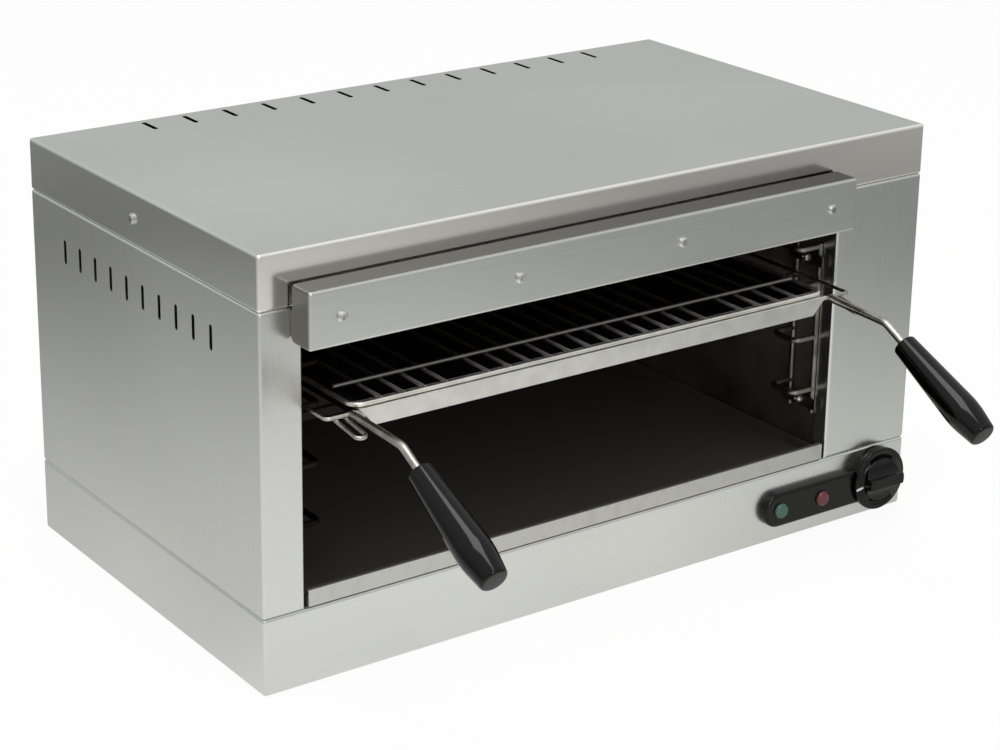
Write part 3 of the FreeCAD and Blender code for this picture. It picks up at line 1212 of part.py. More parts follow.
make_base()
make_bottom_plate()
make_side_panel("left_side_panel", "-1", "left_pillar")
make_side_panel("right_side_panel", "1", "right_pillar")
make_back_panel()
make_top_cover()
make_cover_fixings()
make_header()
make_hood()
make_hood_fixings()
clip_places = make_shelf_supports()
make_liners(clip_places)
make_reflector()
make_elements()
make_hangers()
make_crumb_tray()
make_carrier_frame()
make_handles()
make_drip_pan()
make_toasting_rack()
make_bezel()
make_lamps()
make_regulator()
make_knob()
make_terminal_block()
make_gland()
make_loom()
doc.recompute()

# Checks, then one file for each sub-part

for thing in doc.Objects:
    if "Invalid" in thing.State or "Error" in thing.State:
        raise RuntimeError(thing.Name + " failed: " + str(thing.State))
os.makedirs("parts", exist_ok=True)
for name, thing in pieces.items():
    shape = thing.Shape
    if shape.isNull() or not shape.isValid():
        raise RuntimeError(name + " has no valid shape")
    shape.exportStep(os.path.join("parts", name + ".step"))
print(len(pieces), "sub-parts")
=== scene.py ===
# Looks of the cheese melter: a bench-top electric grill in satin stainless steel, with a wire
# shelf on two black handles. The frame is in metres: +X right, +Y back, +Z up, origin on the table.

import math

import bpy
import numpy as np
from mathutils import Matrix, Vector


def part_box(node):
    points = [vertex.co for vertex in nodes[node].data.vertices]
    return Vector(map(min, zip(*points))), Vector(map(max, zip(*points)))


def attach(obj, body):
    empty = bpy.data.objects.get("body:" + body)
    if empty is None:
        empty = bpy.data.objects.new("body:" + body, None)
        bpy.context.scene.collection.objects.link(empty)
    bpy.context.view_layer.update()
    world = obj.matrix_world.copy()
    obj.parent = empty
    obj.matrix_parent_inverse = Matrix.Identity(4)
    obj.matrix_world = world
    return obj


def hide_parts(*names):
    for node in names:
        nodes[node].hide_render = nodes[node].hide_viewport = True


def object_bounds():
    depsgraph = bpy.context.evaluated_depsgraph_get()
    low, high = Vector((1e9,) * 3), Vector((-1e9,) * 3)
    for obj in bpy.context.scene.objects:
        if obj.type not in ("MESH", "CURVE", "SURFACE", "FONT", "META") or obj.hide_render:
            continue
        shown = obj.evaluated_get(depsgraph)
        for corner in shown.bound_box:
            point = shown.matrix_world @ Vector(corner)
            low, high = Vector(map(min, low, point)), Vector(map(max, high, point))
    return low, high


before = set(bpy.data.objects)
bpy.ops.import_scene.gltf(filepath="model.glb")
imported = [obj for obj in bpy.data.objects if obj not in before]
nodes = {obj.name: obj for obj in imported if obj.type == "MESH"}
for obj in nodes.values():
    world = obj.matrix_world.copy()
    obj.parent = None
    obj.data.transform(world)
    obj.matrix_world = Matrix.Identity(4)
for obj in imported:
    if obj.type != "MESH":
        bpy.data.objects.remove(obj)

MM = 0.001
cad_low, cad_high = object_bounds()


# Small helpers for colours, nodes and meshes

def linear(hex_colour):
    """An sRGB hex value as linear RGBA: each channel follows the sRGB curve backwards."""
    channels = [int(hex_colour[i:i + 2], 16) / 255 for i in (1, 3, 5)]
    straight = [c / 12.92 if c <= 0.04045 else ((c + 0.055) / 1.055) ** 2.4 for c in channels]
    return (*straight, 1.0)


def add(tree, kind, inputs=None, stops=(), **settings):
    """Adds one shader node: its settings, what its inputs are linked or set to, and a ramp's colour stops."""
    made = tree.nodes.new("ShaderNode" + kind)
    for name, value in settings.items():
        setattr(made, name, value)
    for name, value in (inputs or {}).items():
        if isinstance(value, bpy.types.NodeSocket):
            tree.links.new(value, made.inputs[name])
        else:
            made.inputs[name].default_value = value
    for number, (position, colour) in enumerate(stops):
        elements = made.color_ramp.elements
        element = elements[number] if number < len(elements) else elements.new(position)
        element.position = position
        element.color = linear(colour)
    return made


def blank_material(name):
    """A material with an empty node tree."""
    made = bpy.data.materials.new(name)
    made.use_nodes = True
    made.node_tree.nodes.clear()
    return made, made.node_tree


def change_along(tree, place, start, end, first, second):
    """Goes over from the first tone at start to the second at end, both places along Y."""
    depth = add(tree, "SeparateXYZ", {"Vector": place}).outputs["Y"]
    share = add(tree, "MapRange", {"Value": depth, "From Min": start, "From Max": end})
    mixed = add(tree, "Mix", {"Factor": share.outputs[0], "A": first, "B": second}, data_type="RGBA")
    return mixed.outputs["Result"]


def paint(mesh, finish):
    """Gives a mesh one material."""
    mesh.materials.clear()
    mesh.materials.append(finish)


# Surfaces worked out with numpy

ARC_STEPS = 9


def rounded(corners, radii):
    """A line through 2-D corners where each inner corner turns on an arc that touches both its sides."""
    corners = np.asarray(corners, float)
    runs = [corners[:1]]
    for before, corner, after, radius in zip(corners, corners[1:], corners[2:], radii):
        inward = (before - corner) / np.linalg.norm(before - corner)
        outward = (after - corner) / np.linalg.norm(after - corner)
        half = (np.pi - np.arccos(np.clip(inward @ outward, -1, 1))) / 2
        middle = corner + (inward + outward) / np.linalg.norm(inward + outward) * radius / np.cos(half)
        start = corner + inward * radius * np.tan(half) - middle
        end = corner + outward * radius * np.tan(half) - middle
        share = np.linspace(0, 1, ARC_STEPS)[:, None]
        arc = np.sin((1 - share) * 2 * half) * start + np.sin(share * 2 * half) * end
        runs.append(middle + arc / np.sin(2 * half))
    runs.append(corners[-1:])
    return np.concatenate(runs)


def signed_volume(mesh):
    """The volume inside a closed mesh, negative where its faces point inwards: a sum over its triangles."""
    mesh.calc_loop_triangles()
    places = np.empty(len(mesh.vertices) * 3)
    mesh.vertices.foreach_get("co", places)
    corners = np.empty(len(mesh.loop_triangles) * 3, np.int64)
    mesh.loop_triangles.foreach_get("vertices", corners)
    a, b, c = places.reshape(-1, 3)[corners.reshape(-1, 3)].transpose(1, 0, 2)
    return (a * np.cross(b, c)).sum() / 6


def shell(name, rings, first_pole, last_pole, finish, slot, body, *nodes_replaced):
    """A closed skin that stands for CAD nodes and rides on a body.

    Rings of points (ring, place, xyz) are joined by quads, and a fan of triangles joins each end ring to
    its pole.
    """
    count, around = rings.shape[:2]
    points = np.concatenate([rings.reshape(-1, 3), [first_pole, last_pole]])
    index = np.arange(count * around).reshape(count, around)
    beside = np.roll(index, -1, axis=1)
    quads = np.stack([index[:-1], beside[:-1], beside[1:], index[1:]], axis=-1).reshape(-1, 4)
    first_fan = np.stack([np.full(around, count * around), beside[0], index[0]], axis=-1)
    last_fan = np.stack([np.full(around, count * around + 1), index[-1], beside[-1]], axis=-1)
    mesh = bpy.data.meshes.new(name)
    mesh.from_pydata(points.tolist(), [], quads.tolist() + first_fan.tolist() + last_fan.tolist())
    if signed_volume(mesh) < 0:
        mesh.flip_normals()
    mesh.polygons.foreach_set("use_smooth", np.ones(len(mesh.polygons), bool))
    paint(mesh, finish)
    made = bpy.data.objects.new(name, mesh)
    bpy.context.scene.collection.objects.link(made)
    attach(made, body)
    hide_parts(*nodes_replaced)


# Where a finish changes on a piece, worked out from the pieces' boxes

hood_low, hood_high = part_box("hood")
HOOD_FACE_BACK = hood_low[1] + 0.8 * MM
# The painted shade on the hood's flanges runs across between these two places.
PAINTED_SHADE_LEFT, PAINTED_SHADE_RIGHT = hood_low[0] + 5.7 * MM, hood_high[0] + 1.5 * MM
LID_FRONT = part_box("top_cover")[0][1]
WIRES_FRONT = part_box("rack_wires")[0][1]
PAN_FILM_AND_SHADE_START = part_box("drip_pan")[0][1] + 13.55 * MM
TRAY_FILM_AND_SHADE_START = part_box("crumb_tray")[0][1] + 1.0 * MM

# Streaks of a 180-grit belt are about 0.1 mm apart. That is finer than a pixel here, so they are drawn
# at 0.9 mm across and 90 mm along, and stay faint.
STREAK_ACROSS = 0.9 * MM
STREAK_ALONG = 90.0 * MM

# The other patterns have their real size: dull patches on sheet, clouds, specks and the ragged edge of
# baked fat, and stains along wire.
SHEET_PATCH = 240 * MM
FAT_CLOUD, FAT_SPECK, FAT_EDGE = 60 * MM, 4 * MM, 14 * MM
WIRE_STAIN = 18 * MM


# Metal finishes

def brushed_steel(name, along, roughness=0.28, change=None):
    """Stainless steel sheet, belt-brushed: fine parallel streaks that soften what it mirrors.

    Where part of a piece has its own tone, change is the function that lays it over the plain one.
    """
    made, tree = blank_material(name)
    place = add(tree, "TexCoord").outputs["Object"]
    across = [1.0 / STREAK_ACROSS] * 3
    across["XYZ".index(along)] = 1.0 / STREAK_ALONG
    lines = add(tree, "Mapping", {"Vector": place, "Scale": across})
    streaks = add(tree, "TexNoise", {
        "Vector": lines.outputs[0], "Scale": 1.0, "Detail": 3.0, "Roughness": 0.6,
    }).outputs["Fac"]
    patches = add(tree, "TexNoise", {
        "Vector": place, "Scale": 1.0 / SHEET_PATCH, "Detail": 1.5, "Roughness": 0.4,
    }).outputs["Fac"]
    light, dark = "#e6e7e3", "#d5d6d2"
    streak_tone = add(tree, "ValToRGB", {"Fac": streaks}, [(0.25, dark), (0.75, light)])
    patch_tone = add(tree, "ValToRGB", {"Fac": patches}, [(0.3, dark), (0.7, light)])
    colour = add(tree, "Mix", {
        "Factor": 0.35, "A": patch_tone.outputs[0], "B": streak_tone.outputs[0],
    }, data_type="RGBA").outputs["Result"]
    if change:
        colour = change(tree, place, colour)
    shine = add(tree, "MapRange", {"Value": streaks, "To Min": roughness - 0.05, "To Max": roughness + 0.06})
    relief = add(tree, "Bump", {"Height": streaks, "Strength": 0.06, "Distance": 0.05 * MM})
    shader = add(tree, "BsdfPrincipled", {
        "Base Color": colour, "Metallic": 1.0, "Roughness": shine.outputs[0], "Normal": relief.outputs[0],
    })
    add(tree, "OutputMaterial", {"Surface": shader.outputs[0]})
    return made


def painted_shade_behind_face(tree, place, steel):
    """Painted shade darkens the hood's flanges, behind the back of its face, and deepens to the right."""
    across = add(tree, "SeparateXYZ", {"Vector": place}).outputs["X"]
    share = add(tree, "MapRange", {"Value": across, "From Min": PAINTED_SHADE_LEFT, "From Max": PAINTED_SHADE_RIGHT})
    # Painted shade: dark tones on the flanges, darker to the right.
    painted_flange_shade = add(tree, "ValToRGB", {"Fac": share.outputs[0]}, [(0.0, "#85837e"), (1.0, "#242321")])
    start, end = HOOD_FACE_BACK - 0.5 * MM, HOOD_FACE_BACK + 1.5 * MM
    return change_along(tree, place, start, end, steel, painted_flange_shade.outputs[0])


def painted_light_at_front(tree, place, steel):
    """The lid's front edge is painted brighter than the rest, as painted light."""
    start, end = LID_FRONT + 2.4 * MM, LID_FRONT + 1.2 * MM
    # Painted light: a near-white tone on the lid's front edge.
    return change_along(tree, place, start, end, steel, linear("#fffcf6"))


def baked_steel(name, light, dark, roughness=0.55, metallic=0.85):
    """Stainless sheet after years of grilling: dull brown-black with a thin uneven film of baked fat."""
    made, tree = blank_material(name)
    place = add(tree, "TexCoord").outputs["Object"]
    clouds = add(tree, "TexNoise", {
        "Vector": place, "Scale": 1.0 / FAT_CLOUD, "Detail": 6.0, "Roughness": 0.62,
    }).outputs["Fac"]
    specks = add(tree, "TexNoise", {"Vector": place, "Scale": 1.0 / FAT_SPECK, "Detail": 2.0}).outputs["Fac"]
    tone = add(tree, "ValToRGB", {"Fac": clouds}, [(0.32, dark), (0.72, light)])
    shine = add(tree, "MapRange", {"Value": clouds, "To Min": roughness - 0.12, "To Max": roughness + 0.15})
    relief = add(tree, "Bump", {"Height": specks, "Strength": 0.12, "Distance": 0.1 * MM})
    shader = add(tree, "BsdfPrincipled", {
        "Base Color": tone.outputs[0], "Metallic": metallic,
        "Roughness": shine.outputs[0], "Normal": relief.outputs[0],
    })
    add(tree, "OutputMaterial", {"Surface": shader.outputs[0]})
    return made


def filmed_and_shaded_sheet(name, light, dark, film_and_shade_tone, film_and_shade_start, film_and_shade_roughness):
    """Satin steel on the front lip. Behind the given place it carries a dull dark tone: partly a film of
    baked fat, partly painted shade.
    """
    made, tree = blank_material(name)
    place = add(tree, "TexCoord").outputs["Object"]
    clouds = add(tree, "TexNoise", {"Vector": place, "Scale": 1.0 / FAT_EDGE, "Detail": 4.0}).outputs["Fac"]
    wander = add(tree, "MapRange", {"Value": clouds, "To Min": -1 * MM, "To Max": 1 * MM})
    along = add(tree, "SeparateXYZ", {"Vector": place}).outputs["Y"]
    depth = add(tree, "Math", {0: along, 1: wander.outputs[0]}, operation="ADD")
    film_and_shade_share = add(tree, "MapRange", {
        "Value": depth.outputs[0], "From Min": film_and_shade_start - 1 * MM, "From Max": film_and_shade_start + 1 * MM,
    }).outputs[0]
    sheet = add(tree, "ValToRGB", {"Fac": clouds}, [(0.3, dark), (0.7, light)])
    # Baked film and painted shade: the dark tone behind the lip.
    tone = add(tree, "Mix", {"Factor": film_and_shade_share, "A": sheet.outputs[0], "B": linear(film_and_shade_tone)}, data_type="RGBA")
    metal = add(tree, "MapRange", {"Value": film_and_shade_share, "To Min": 1.0, "To Max": 0.0})
    shine = add(tree, "MapRange", {"Value": film_and_shade_share, "To Min": 0.36, "To Max": film_and_shade_roughness})
    shader = add(tree, "BsdfPrincipled", {
        "Base Color": tone.outputs["Result"], "Metallic": metal.outputs[0], "Roughness": shine.outputs[0],
        "Specular IOR Level": 0.15,
    })
    add(tree, "OutputMaterial", {"Surface": shader.outputs[0]})
    return made


def bright_metal(name, light, dark, roughness=0.28, change=None):
    """Drawn wire and turned screws: an even metal with faint stains and a soft gleam."""
    made, tree = blank_material(name)
    place = add(tree, "TexCoord").outputs["Object"]
    stains = add(tree, "TexNoise", {"Vector": place, "Scale": 1.0 / WIRE_STAIN, "Detail": 3.0}).outputs["Fac"]
    colour = add(tree, "ValToRGB", {"Fac": stains}, [(0.35, dark), (0.65, light)]).outputs[0]
    if change:
        colour = change(tree, place, colour)
    shine = add(tree, "MapRange", {"Value": stains, "To Min": roughness - 0.08, "To Max": roughness + 0.1})
    shader = add(tree, "BsdfPrincipled", {
        "Base Color": colour, "Metallic": 1.0, "Roughness": shine.outputs[0],
    })
    add(tree, "OutputMaterial", {"Surface": shader.outputs[0]})
    return made


def painted_shade_behind_front(tree, place, wire):
    """The rack's wires are bright at their front ends and darker behind them, as painted shade of the cavity.
    """
    start, end = WIRES_FRONT + 12.25 * MM, WIRES_FRONT + 32.25 * MM
    # Painted shade: a dull grey behind the wires' front ends.
    return change_along(tree, place, start, end, wire, linear("#7d7973"))


# Finishes of the moulded pieces

def moulded_black(name, tone, sheen_tone, roughness, grain):
    """Moulded thermoset: deep black with a gloss skin and a barely uneven surface of the given grain size."""
    made, tree = blank_material(name)
    place = add(tree, "TexCoord").outputs["Object"]
    waves = add(tree, "TexNoise", {"Vector": place, "Scale": 1.0 / grain, "Detail": 3.0}).outputs["Fac"]
    colour = add(tree, "ValToRGB", {"Fac": waves}, [(0.3, tone), (0.8, sheen_tone)])
    shine = add(tree, "MapRange", {"Value": waves, "To Min": roughness - 0.05, "To Max": roughness + 0.07})
    relief = add(tree, "Bump", {"Height": waves, "Strength": 0.05, "Distance": 0.05 * MM})
    shader = add(tree, "BsdfPrincipled", {
        "Base Color": colour.outputs[0], "Roughness": shine.outputs[0], "Normal": relief.outputs[0],
        "IOR": 1.5, "Specular IOR Level": 0.3,
    })
    add(tree, "OutputMaterial", {"Surface": shader.outputs[0]})
    return made


def lamp_lens(name, middle, edge):
    """Polycarbonate lens of an unlit neon lamp: saturated but dull, a little deeper at its rim."""
    made, tree = blank_material(name)
    rim = add(tree, "LayerWeight", {"Blend": 0.45})
    colour = add(tree, "ValToRGB", {"Fac": rim.outputs["Facing"]}, [(0.0, middle), (0.8, edge)])
    shader = add(tree, "BsdfPrincipled", {
        "Base Color": colour.outputs[0], "Roughness": 0.22, "IOR": 1.58, "Coat Weight": 0.1,
    })
    add(tree, "OutputMaterial", {"Surface": shader.outputs[0]})
    return made


def matt_moulding(name, light, dark, roughness, grain):
    """Unpolished moulding such as nylon or ceramic: even colour with a fine matt grain."""
    made, tree = blank_material(name)
    place = add(tree, "TexCoord").outputs["Object"]
    speckle = add(tree, "TexNoise", {"Vector": place, "Scale": 1.0 / grain, "Detail": 4.0}).outputs["Fac"]
    colour = add(tree, "ValToRGB", {"Fac": speckle}, [(0.3, dark), (0.7, light)])
    relief = add(tree, "Bump", {"Height": speckle, "Strength": 0.1, "Distance": 0.08 * MM})
    shader = add(tree, "BsdfPrincipled", {
        "Base Color": colour.outputs[0], "Roughness": roughness, "Normal": relief.outputs[0],
    })
    add(tree, "OutputMaterial", {"Surface": shader.outputs[0]})
    return made


# Each CAD piece gets its finish

dressed = set()


def dress(finish, *names):
    """Gives the named pieces one finish."""
    for name in names:
        paint(nodes[name].data, finish)
    dressed.update(names)


# The casing's sheets gleam softly along their grain: level at the base, upright on the walls.
dress(brushed_steel("brushed stainless, level grain", "X"), "base_tray", "front_header", "bottom_plate")
dress(
    brushed_steel("brushed stainless, upright grain", "Z"),
    "left_side_panel", "right_side_panel", "back_panel", "cover_brackets",
)
# The lid mirrors the room a little sharper, and its front edge is painted brighter as painted light.
dress(brushed_steel("brushed stainless, smooth lid", "X", 0.16, painted_light_at_front), "top_cover")
# The hood is plain on its face; its flanges carry painted shade that deepens to the right.
dress(brushed_steel("brushed stainless with painted shade on flanges", "X", change=painted_shade_behind_face), "hood")

# The pan's bed is near-black and the crumb tray's brown behind a bright lip: partly a baked film, partly
# painted shade that makes both look deep.
dress(
    filmed_and_shaded_sheet(
        "satin pan sheet with baked film and painted shade", "#f2f2ec", "#e0e0da", "#040404", PAN_FILM_AND_SHADE_START, 0.75,
    ),
    "drip_pan",
)
dress(
    filmed_and_shaded_sheet(
        "worn crumb tray with brown film and painted shade", "#d2d2cd", "#c0c0bb", "#524d47", TRAY_FILM_AND_SHADE_START, 0.5,
    ),
    "crumb_tray",
)

# The liner is dull and nearly black from the heat, its floor a little lighter.
dress(
    baked_steel("heat-darkened liner steel", "#6b6660", "#423f3b", metallic=0.5),
    "liner_left", "liner_right", "liner_back", "reflector_plate", "element_flanges",
    "element_hanger_left", "element_hanger_right",
)
dress(baked_steel("heat-darkened floor sheet", "#857f78", "#5c5751", metallic=0.4), "cavity_floor")
# Nickel-alloy element tube, annealed and oxidised: near-black with a soft grey bloom.
dress(
    baked_steel("oxidised element sheath", "#4a4542", "#2b2827", roughness=0.5),
    "heating_element_front", "heating_element_middle", "heating_element_rear",
)

# Drawn stainless wire is bright on the shelf, and duller the nearer it stays to the heat; the left shelf
# supports are near-black as painted shade.
dress(
    bright_metal("drawn stainless wire", "#cfccc4", "#a09c93"),
    "carrier_frame", "handle_rod_left", "handle_rod_right",
)
dress(bright_metal("clean stainless rack frame", "#f2f0ea", "#dfdcd4", roughness=0.36), "rack_frame")
# The rack's wires and cross bars darken behind their front ends as painted shade.
dress(
    bright_metal("satin stainless rack wire", "#fbf9f4", "#e4e1da", roughness=0.5, change=painted_shade_behind_front),
    "rack_wires", "rack_cross_bars",
)
dress(
    bright_metal("heat-tinted stainless wire", "#97938b", "#6a6761", roughness=0.36),
    "support_clips", "shelf_support_front_right", "shelf_support_rear_right",
)
# The left shelf supports are the same wire as the right ones, painted near-black as painted shade.
dress(
    bright_metal("stainless wire in painted shade", "#2c2a28", "#1b1a19", roughness=0.6),
    "shelf_support_front_left", "shelf_support_rear_left",
)
# Screws catch the light as small bright dots. Brass fittings are a soft yellow.
dress(
    bright_metal("bright zinc screws", "#e3e3e0", "#c6c6c2", roughness=0.24),
    "hood_screws", "hood_spacers", "cover_screws", "back_screws", "bottom_screws", "support_screws",
)
dress(
    bright_metal("plated brass", "#d9c27a", "#b59a55", roughness=0.3),
    "terminal_screws", "element_terminals", "regulator_nut", "regulator_spindle",
)

# The grips are polished black with sharp highlights. The controls' black is a little softer.
grip_black = moulded_black("gloss black phenolic grip", "#020202", "#050505", 0.08, 9 * MM)
dress(grip_black, "handle_grip_left", "handle_grip_right")
control_black = moulded_black("gloss black control moulding", "#020202", "#060606", 0.18, 7 * MM)
dress(control_black, "control_bezel", "control_knob")
dress(matt_moulding("white pointer inlay", "#e9e9e6", "#d8d8d4", 0.5, 1 * MM), "knob_pointer")
dress(lamp_lens("dull green neon lens", "#3c6857", "#18362b"), "green_lamp")
dress(lamp_lens("dull red neon lens", "#6c2229", "#330f13"), "red_lamp")

# Electrical pieces behind the panel and at the back are plain and matt.
dress(matt_moulding("charcoal regulator moulding", "#2b2b2d", "#1f1f21", 0.55, 2 * MM), "energy_regulator")
dress(matt_moulding("ivory terminal ceramic", "#e8e4d8", "#d6d1c3", 0.6, 2 * MM), "terminal_block")
dress(matt_moulding("black nylon gland", "#161617", "#0e0e0f", 0.5, 1.5 * MM), "cable_gland", "gland_locknut")
dress(
    matt_moulding("silicone wire sleeve", "#232325", "#161618", 0.6, 1.5 * MM),
    "wiring_loom", "element_leads",
)

bare = sorted(set(nodes) - dressed)
if bare:
    raise RuntimeError("no finish for " + ", ".join(bare))


# Handle grips: smooth turned mouldings over the ends of the two rods. Their sizes and the knob's are in
# millimetres. PINHOLE is the radius of the small ring in the middle of a face, which a fan fills.

PINHOLE = 0.3
GRIP_SLOPE = math.radians(27.65)
GRIP_NECK_BACK, GRIP_NECK_UP = -272.68, 191.54
GRIP_BORE, GRIP_BORE_DEEP, GRIP_BORE_EDGE = 3.03, 43.5, 0.4
GRIP_START, GRIP_BELLY, GRIP_BELLY_ALONG, GRIP_END, GRIP_LONG = 9.0, 13.3, 73.0, 10.0, 94.9
GRIP_LIP, GRIP_SWELL, GRIP_TIP = 1.5, 80.0, 2.5
GRIP_SIDES = 96


def mould_grip(side):
    """The grip's half outline (along, radius), its bore included, turned round its own sloping axis."""
    name = "handle_grip_" + side
    low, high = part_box(name)
    corners = [
        (GRIP_BORE_DEEP, GRIP_BORE), (0, GRIP_BORE), (0, GRIP_START), (GRIP_BELLY_ALONG, GRIP_BELLY),
        (GRIP_LONG, GRIP_END), (GRIP_LONG, PINHOLE),
    ]
    outline = rounded(corners, [GRIP_BORE_EDGE, GRIP_LIP, GRIP_SWELL, GRIP_TIP]) * MM
    ahead = np.array([0.0, -math.cos(GRIP_SLOPE), -math.sin(GRIP_SLOPE)])
    level = np.array([1.0, 0.0, 0.0])
    upright = np.cross(ahead, level)
    start = np.array([(low[0] + high[0]) / 2, GRIP_NECK_BACK * MM, GRIP_NECK_UP * MM])
    turn = np.linspace(0, 2 * np.pi, GRIP_SIDES, endpoint=False)
    circle = np.cos(turn)[:, None] * level + np.sin(turn)[:, None] * upright
    rings = start + outline[:, :1, None] * ahead + outline[:, 1:, None] * circle
    bottom = start + GRIP_BORE_DEEP * MM * ahead
    tip = start + GRIP_LONG * MM * ahead
    shell("grip_" + side, rings, bottom, tip, grip_black, "black_handle", "carrier", name)


for side in ("left", "right"):
    mould_grip(side)


# Control knob: a flat skirt and a drum that is scooped out above and below a finger bar

knob_low, knob_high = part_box("control_knob")
KNOB_MIDDLE = np.array([(knob_low[0] + knob_high[0]) / 2, knob_high[1], (knob_low[2] + knob_high[2]) / 2])
KNOB_DRUM, KNOB_SKIRT, KNOB_FRONT, KNOB_SKIRT_FRONT = 18.0, 26.0, 12.4, 3.35
KNOB_BAR_HALF, KNOB_SCOOP, KNOB_SCOOP_DEEP, KNOB_SCOOP_OFF = 4.5, 20.0, 8.0, 12.0
KNOB_ROUND, KNOB_BACK_ROUND = 1.2, 0.3
SCOOP_STEP = 1.0
KNOB_SIDES, FACE_RINGS, WALL_RINGS = 256, 55, 8


def scooped(height):
    """How far the drum's face is cut back at a height off the bar's middle.

    Beside the bar it is an arc below the face, and a soft step leads down to it from the bar.
    """
    away = np.abs(height) - KNOB_BAR_HALF
    bow = np.sqrt(np.clip(KNOB_SCOOP**2 - (away - KNOB_SCOOP_OFF) ** 2, 0, None))
    step = np.clip(away / SCOOP_STEP + 0.5, 0, 1)
    return (bow - KNOB_SCOOP + KNOB_SCOOP_DEEP) * step**2 * (3 - 2 * step)


def mould_knob():
    """Rings from the drum's middle out over its rim, down to the skirt and round its edge to the back."""
    turn = np.linspace(0, 2 * np.pi, KNOB_SIDES, endpoint=False)
    rim = rounded([(PINHOLE, KNOB_FRONT), (KNOB_DRUM, KNOB_FRONT), (KNOB_DRUM, 0)], [KNOB_ROUND])[1:-1]
    flat = np.linspace(PINHOLE, rim[0, 0], FACE_RINGS, endpoint=False)
    reach = np.concatenate([flat, rim[:, 0]])
    level = np.concatenate([np.full(FACE_RINGS, KNOB_FRONT), rim[:, 1]])
    face = level[:, None] - scooped(reach[:, None] * np.sin(turn))
    down = np.linspace(1, 0, WALL_RINGS + 1)[1:, None]
    wall = KNOB_SKIRT_FRONT + down * (face[-1] - KNOB_SKIRT_FRONT)
    edge = rounded([
        (KNOB_DRUM, KNOB_SKIRT_FRONT), (KNOB_SKIRT, KNOB_SKIRT_FRONT), (KNOB_SKIRT, 0), (PINHOLE, 0),
    ], [KNOB_ROUND, KNOB_BACK_ROUND])[1:]
    radius = np.concatenate([reach, np.full(WALL_RINGS, KNOB_DRUM), edge[:, 0]])[:, None]
    out = np.concatenate([face, wall, np.repeat(edge[:, 1:], KNOB_SIDES, axis=1)])
    rings = np.stack([radius * np.cos(turn), -out, radius * np.sin(turn)], axis=-1) * MM + KNOB_MIDDLE
    front = KNOB_MIDDLE - np.array([0, KNOB_FRONT * MM, 0])
    shell("knob_moulding", rings, front, KNOB_MIDDLE, control_black, "black_control", "knob", "control_knob")


mould_knob()


# Camera: it stands where the photograph's did and keeps a small part of that lens's shift. The whole
# shift would push the object out of the picture in other views.

CAMERA_PLACE = Vector((-1.0673, -1.4968, 0.8264))
CAMERA_YAW = math.radians(34.56)
CAMERA_PITCH = math.radians(18.275)
CAMERA_ROLL = math.radians(0.44)
LENS, SENSOR = 89.51, 36.0
SHIFT_ACROSS, SHIFT_UP = 0.0565, -0.12


def place_camera():
    """Looks along the yaw to the right of +Y and the pitch below level, rolled a little about that line."""
    ahead = Vector((
        math.sin(CAMERA_YAW) * math.cos(CAMERA_PITCH),
        math.cos(CAMERA_YAW) * math.cos(CAMERA_PITCH),
        -math.sin(CAMERA_PITCH),
    ))
    level_right = Vector((math.cos(CAMERA_YAW), -math.sin(CAMERA_YAW), 0.0))
    level_up = level_right.cross(ahead)
    right = level_right * math.cos(CAMERA_ROLL) + level_up * math.sin(CAMERA_ROLL)
    up = level_up * math.cos(CAMERA_ROLL) - level_right * math.sin(CAMERA_ROLL)
    made = bpy.data.objects.new("camera", bpy.data.cameras.new("camera"))
    made.data.lens = LENS
    made.data.sensor_width = SENSOR
    made.data.shift_x, made.data.shift_y = SHIFT_ACROSS, SHIFT_UP
    made.matrix_world = Matrix.Translation(CAMERA_PLACE) @ Matrix((right, up, -ahead)).transposed().to_4x4()
    bpy.context.scene.collection.objects.link(made)
    bpy.context.scene.camera = made


# Studio: a white table in a pale room, a soft box overhead and a strip light in front

TABLE_REACH = 8.0
TABLE_GAP = 0.3 * MM
TABLE_GLOW = 0.93
MIRROR_MIDDLE = (-0.3, -0.3, 0.0)
MIRROR_REACH = 2.6
SHADE_START, SHADE_END, SHADE_SHARE = -0.25, -0.05, 0.8


def table_in_mirror(tree):
    """The table as the steel mirrors it: bright in front, darker farther out, shaded towards the back."""
    place = add(tree, "TexCoord").outputs["Object"]
    offset = add(tree, "VectorMath", {0: place, 1: MIRROR_MIDDLE}, operation="SUBTRACT")
    distance = add(tree, "VectorMath", {0: offset.outputs[0]}, operation="LENGTH")
    away = add(tree, "MapRange", {"Value": distance.outputs["Value"], "From Max": MIRROR_REACH})
    falling = add(tree, "ValToRGB", {"Fac": away.outputs[0]}, [
        (0.0, "#ffffff"), (0.15, "#e9e9e6"), (0.3, "#bebfbc"),
        (0.46, "#787978"), (0.6, "#8a8b8a"), (1.0, "#c4c5c4"),
    ])
    back = add(tree, "SeparateXYZ", {"Vector": place}).outputs["Y"]
    shade = add(tree, "MapRange", {
        "Value": back, "From Min": SHADE_START, "From Max": SHADE_END, "To Min": 1.0, "To Max": SHADE_SHARE,
    })
    return add(tree, "VectorMath", {0: falling.outputs[0], "Scale": shade.outputs[0]}, operation="SCALE")


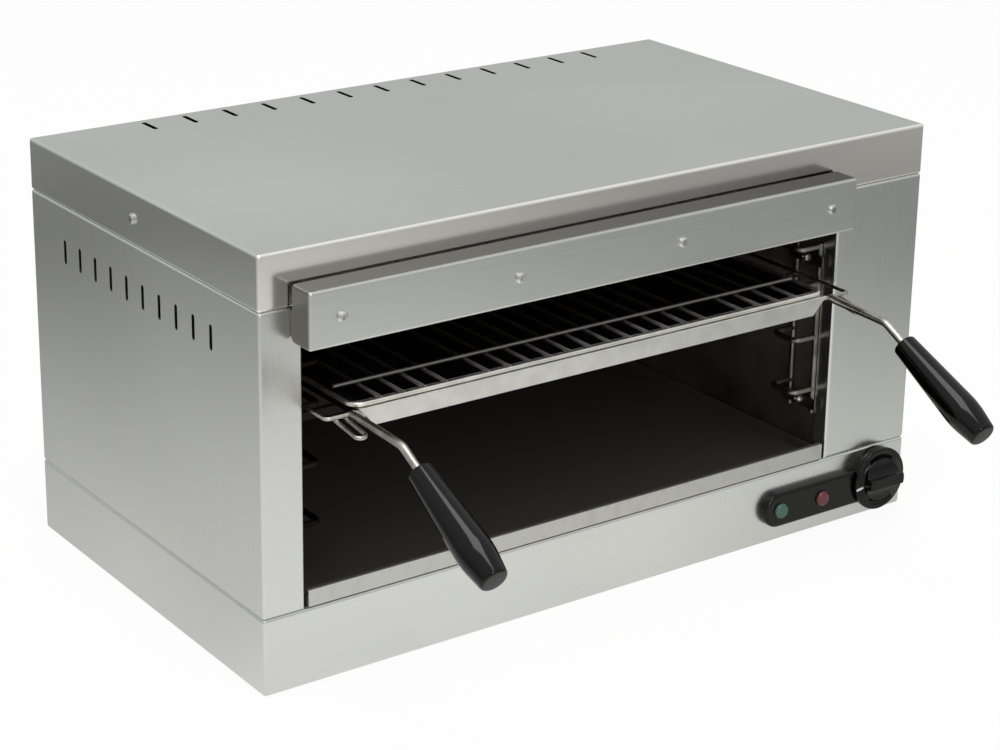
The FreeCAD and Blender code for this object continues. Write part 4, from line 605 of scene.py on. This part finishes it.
def lay_table():
    """A wide plane just under the base. The camera sees it white, the steel mirrors it with the painted
    falloff and shade of table_in_mirror, and it keeps a faint shadow.
    """
    reach = TABLE_REACH
    corners = np.array([(-reach, -reach, 0), (reach, -reach, 0), (reach, reach, 0), (-reach, reach, 0)])
    corners[:, 2] = cad_low[2] - TABLE_GAP
    mesh = bpy.data.meshes.new("table")
    mesh.from_pydata(corners.tolist(), [], [(0, 1, 2, 3)])
    table = bpy.data.objects.new("table", mesh)
    bpy.context.scene.collection.objects.link(table)
    made, tree = blank_material("white laminate table")
    path = add(tree, "LightPath").outputs
    shown = add(tree, "Math", {0: path["Is Camera Ray"], 1: path["Is Glossy Ray"]}, operation="MAXIMUM")
    shown = add(tree, "Math", {0: shown.outputs[0], 1: path["Is Transmission Ray"]}, operation="MAXIMUM")
    share = add(tree, "Math", {0: shown.outputs[0], 1: TABLE_GLOW}, operation="MULTIPLY")
    mirrored = table_in_mirror(tree).outputs[0]
    seen = add(tree, "Mix", {
        "Factor": path["Is Glossy Ray"], "A": linear("#ffffff"), "B": mirrored,
    }, data_type="RGBA")
    paper = add(tree, "BsdfDiffuse", {"Color": linear("#f2f2f0")})
    glow = add(tree, "Emission", {"Color": seen.outputs["Result"], "Strength": 1.0})
    mixed = add(tree, "MixShader", {0: share.outputs[0], 1: paper.outputs[0], 2: glow.outputs[0]})
    add(tree, "OutputMaterial", {"Surface": mixed.outputs[0]})
    paint(mesh, made)


def paint_room():
    """White where the camera looks past the table, a soft grey room where the steel mirrors it."""
    room = bpy.data.worlds.new("studio")
    bpy.context.scene.world = room
    room.use_nodes = True
    tree = room.node_tree
    tree.nodes.clear()
    path = add(tree, "LightPath").outputs
    way = add(tree, "TexCoord").outputs["Generated"]
    height = add(tree, "SeparateXYZ", {"Vector": way}).outputs["Z"]
    wall = add(tree, "ValToRGB", {"Fac": height}, [(0.0, "#a6a7a6"), (0.32, "#cccdcc"), (1.0, "#ececec")])
    fill = add(tree, "Background", {"Color": wall.outputs[0], "Strength": 1.0})
    plain = add(tree, "Background", {"Color": linear("#ffffff"), "Strength": 1.0})
    mixed = add(tree, "MixShader", {0: path["Is Camera Ray"], 1: fill.outputs[0], 2: plain.outputs[0]})
    add(tree, "OutputWorld", {"Surface": mixed.outputs[0]})


def hang_light(name, place, aim, wide, high, watts):
    """A soft box that faces its aim."""
    lamp = bpy.data.lights.new(name, "AREA")
    lamp.shape = "RECTANGLE"
    lamp.size, lamp.size_y = wide, high
    lamp.energy = watts
    made = bpy.data.objects.new(name, lamp)
    made.location = place
    made.rotation_euler = (Vector(aim) - Vector(place)).to_track_quat("-Z", "Y").to_euler()
    bpy.context.scene.collection.objects.link(made)


place_camera()
lay_table()
paint_room()
hang_light("overhead soft box", place=(-0.3, -0.4, 2.2), aim=(0, 0, 0.2), wide=1.2, high=1.2, watts=18)
hang_light("front strip", place=(-0.4, -2.4, 1.0), aim=(0, 0, 0.2), wide=0.3, high=1.4, watts=9)
bpy.context.scene.view_settings.view_transform = "Standard"
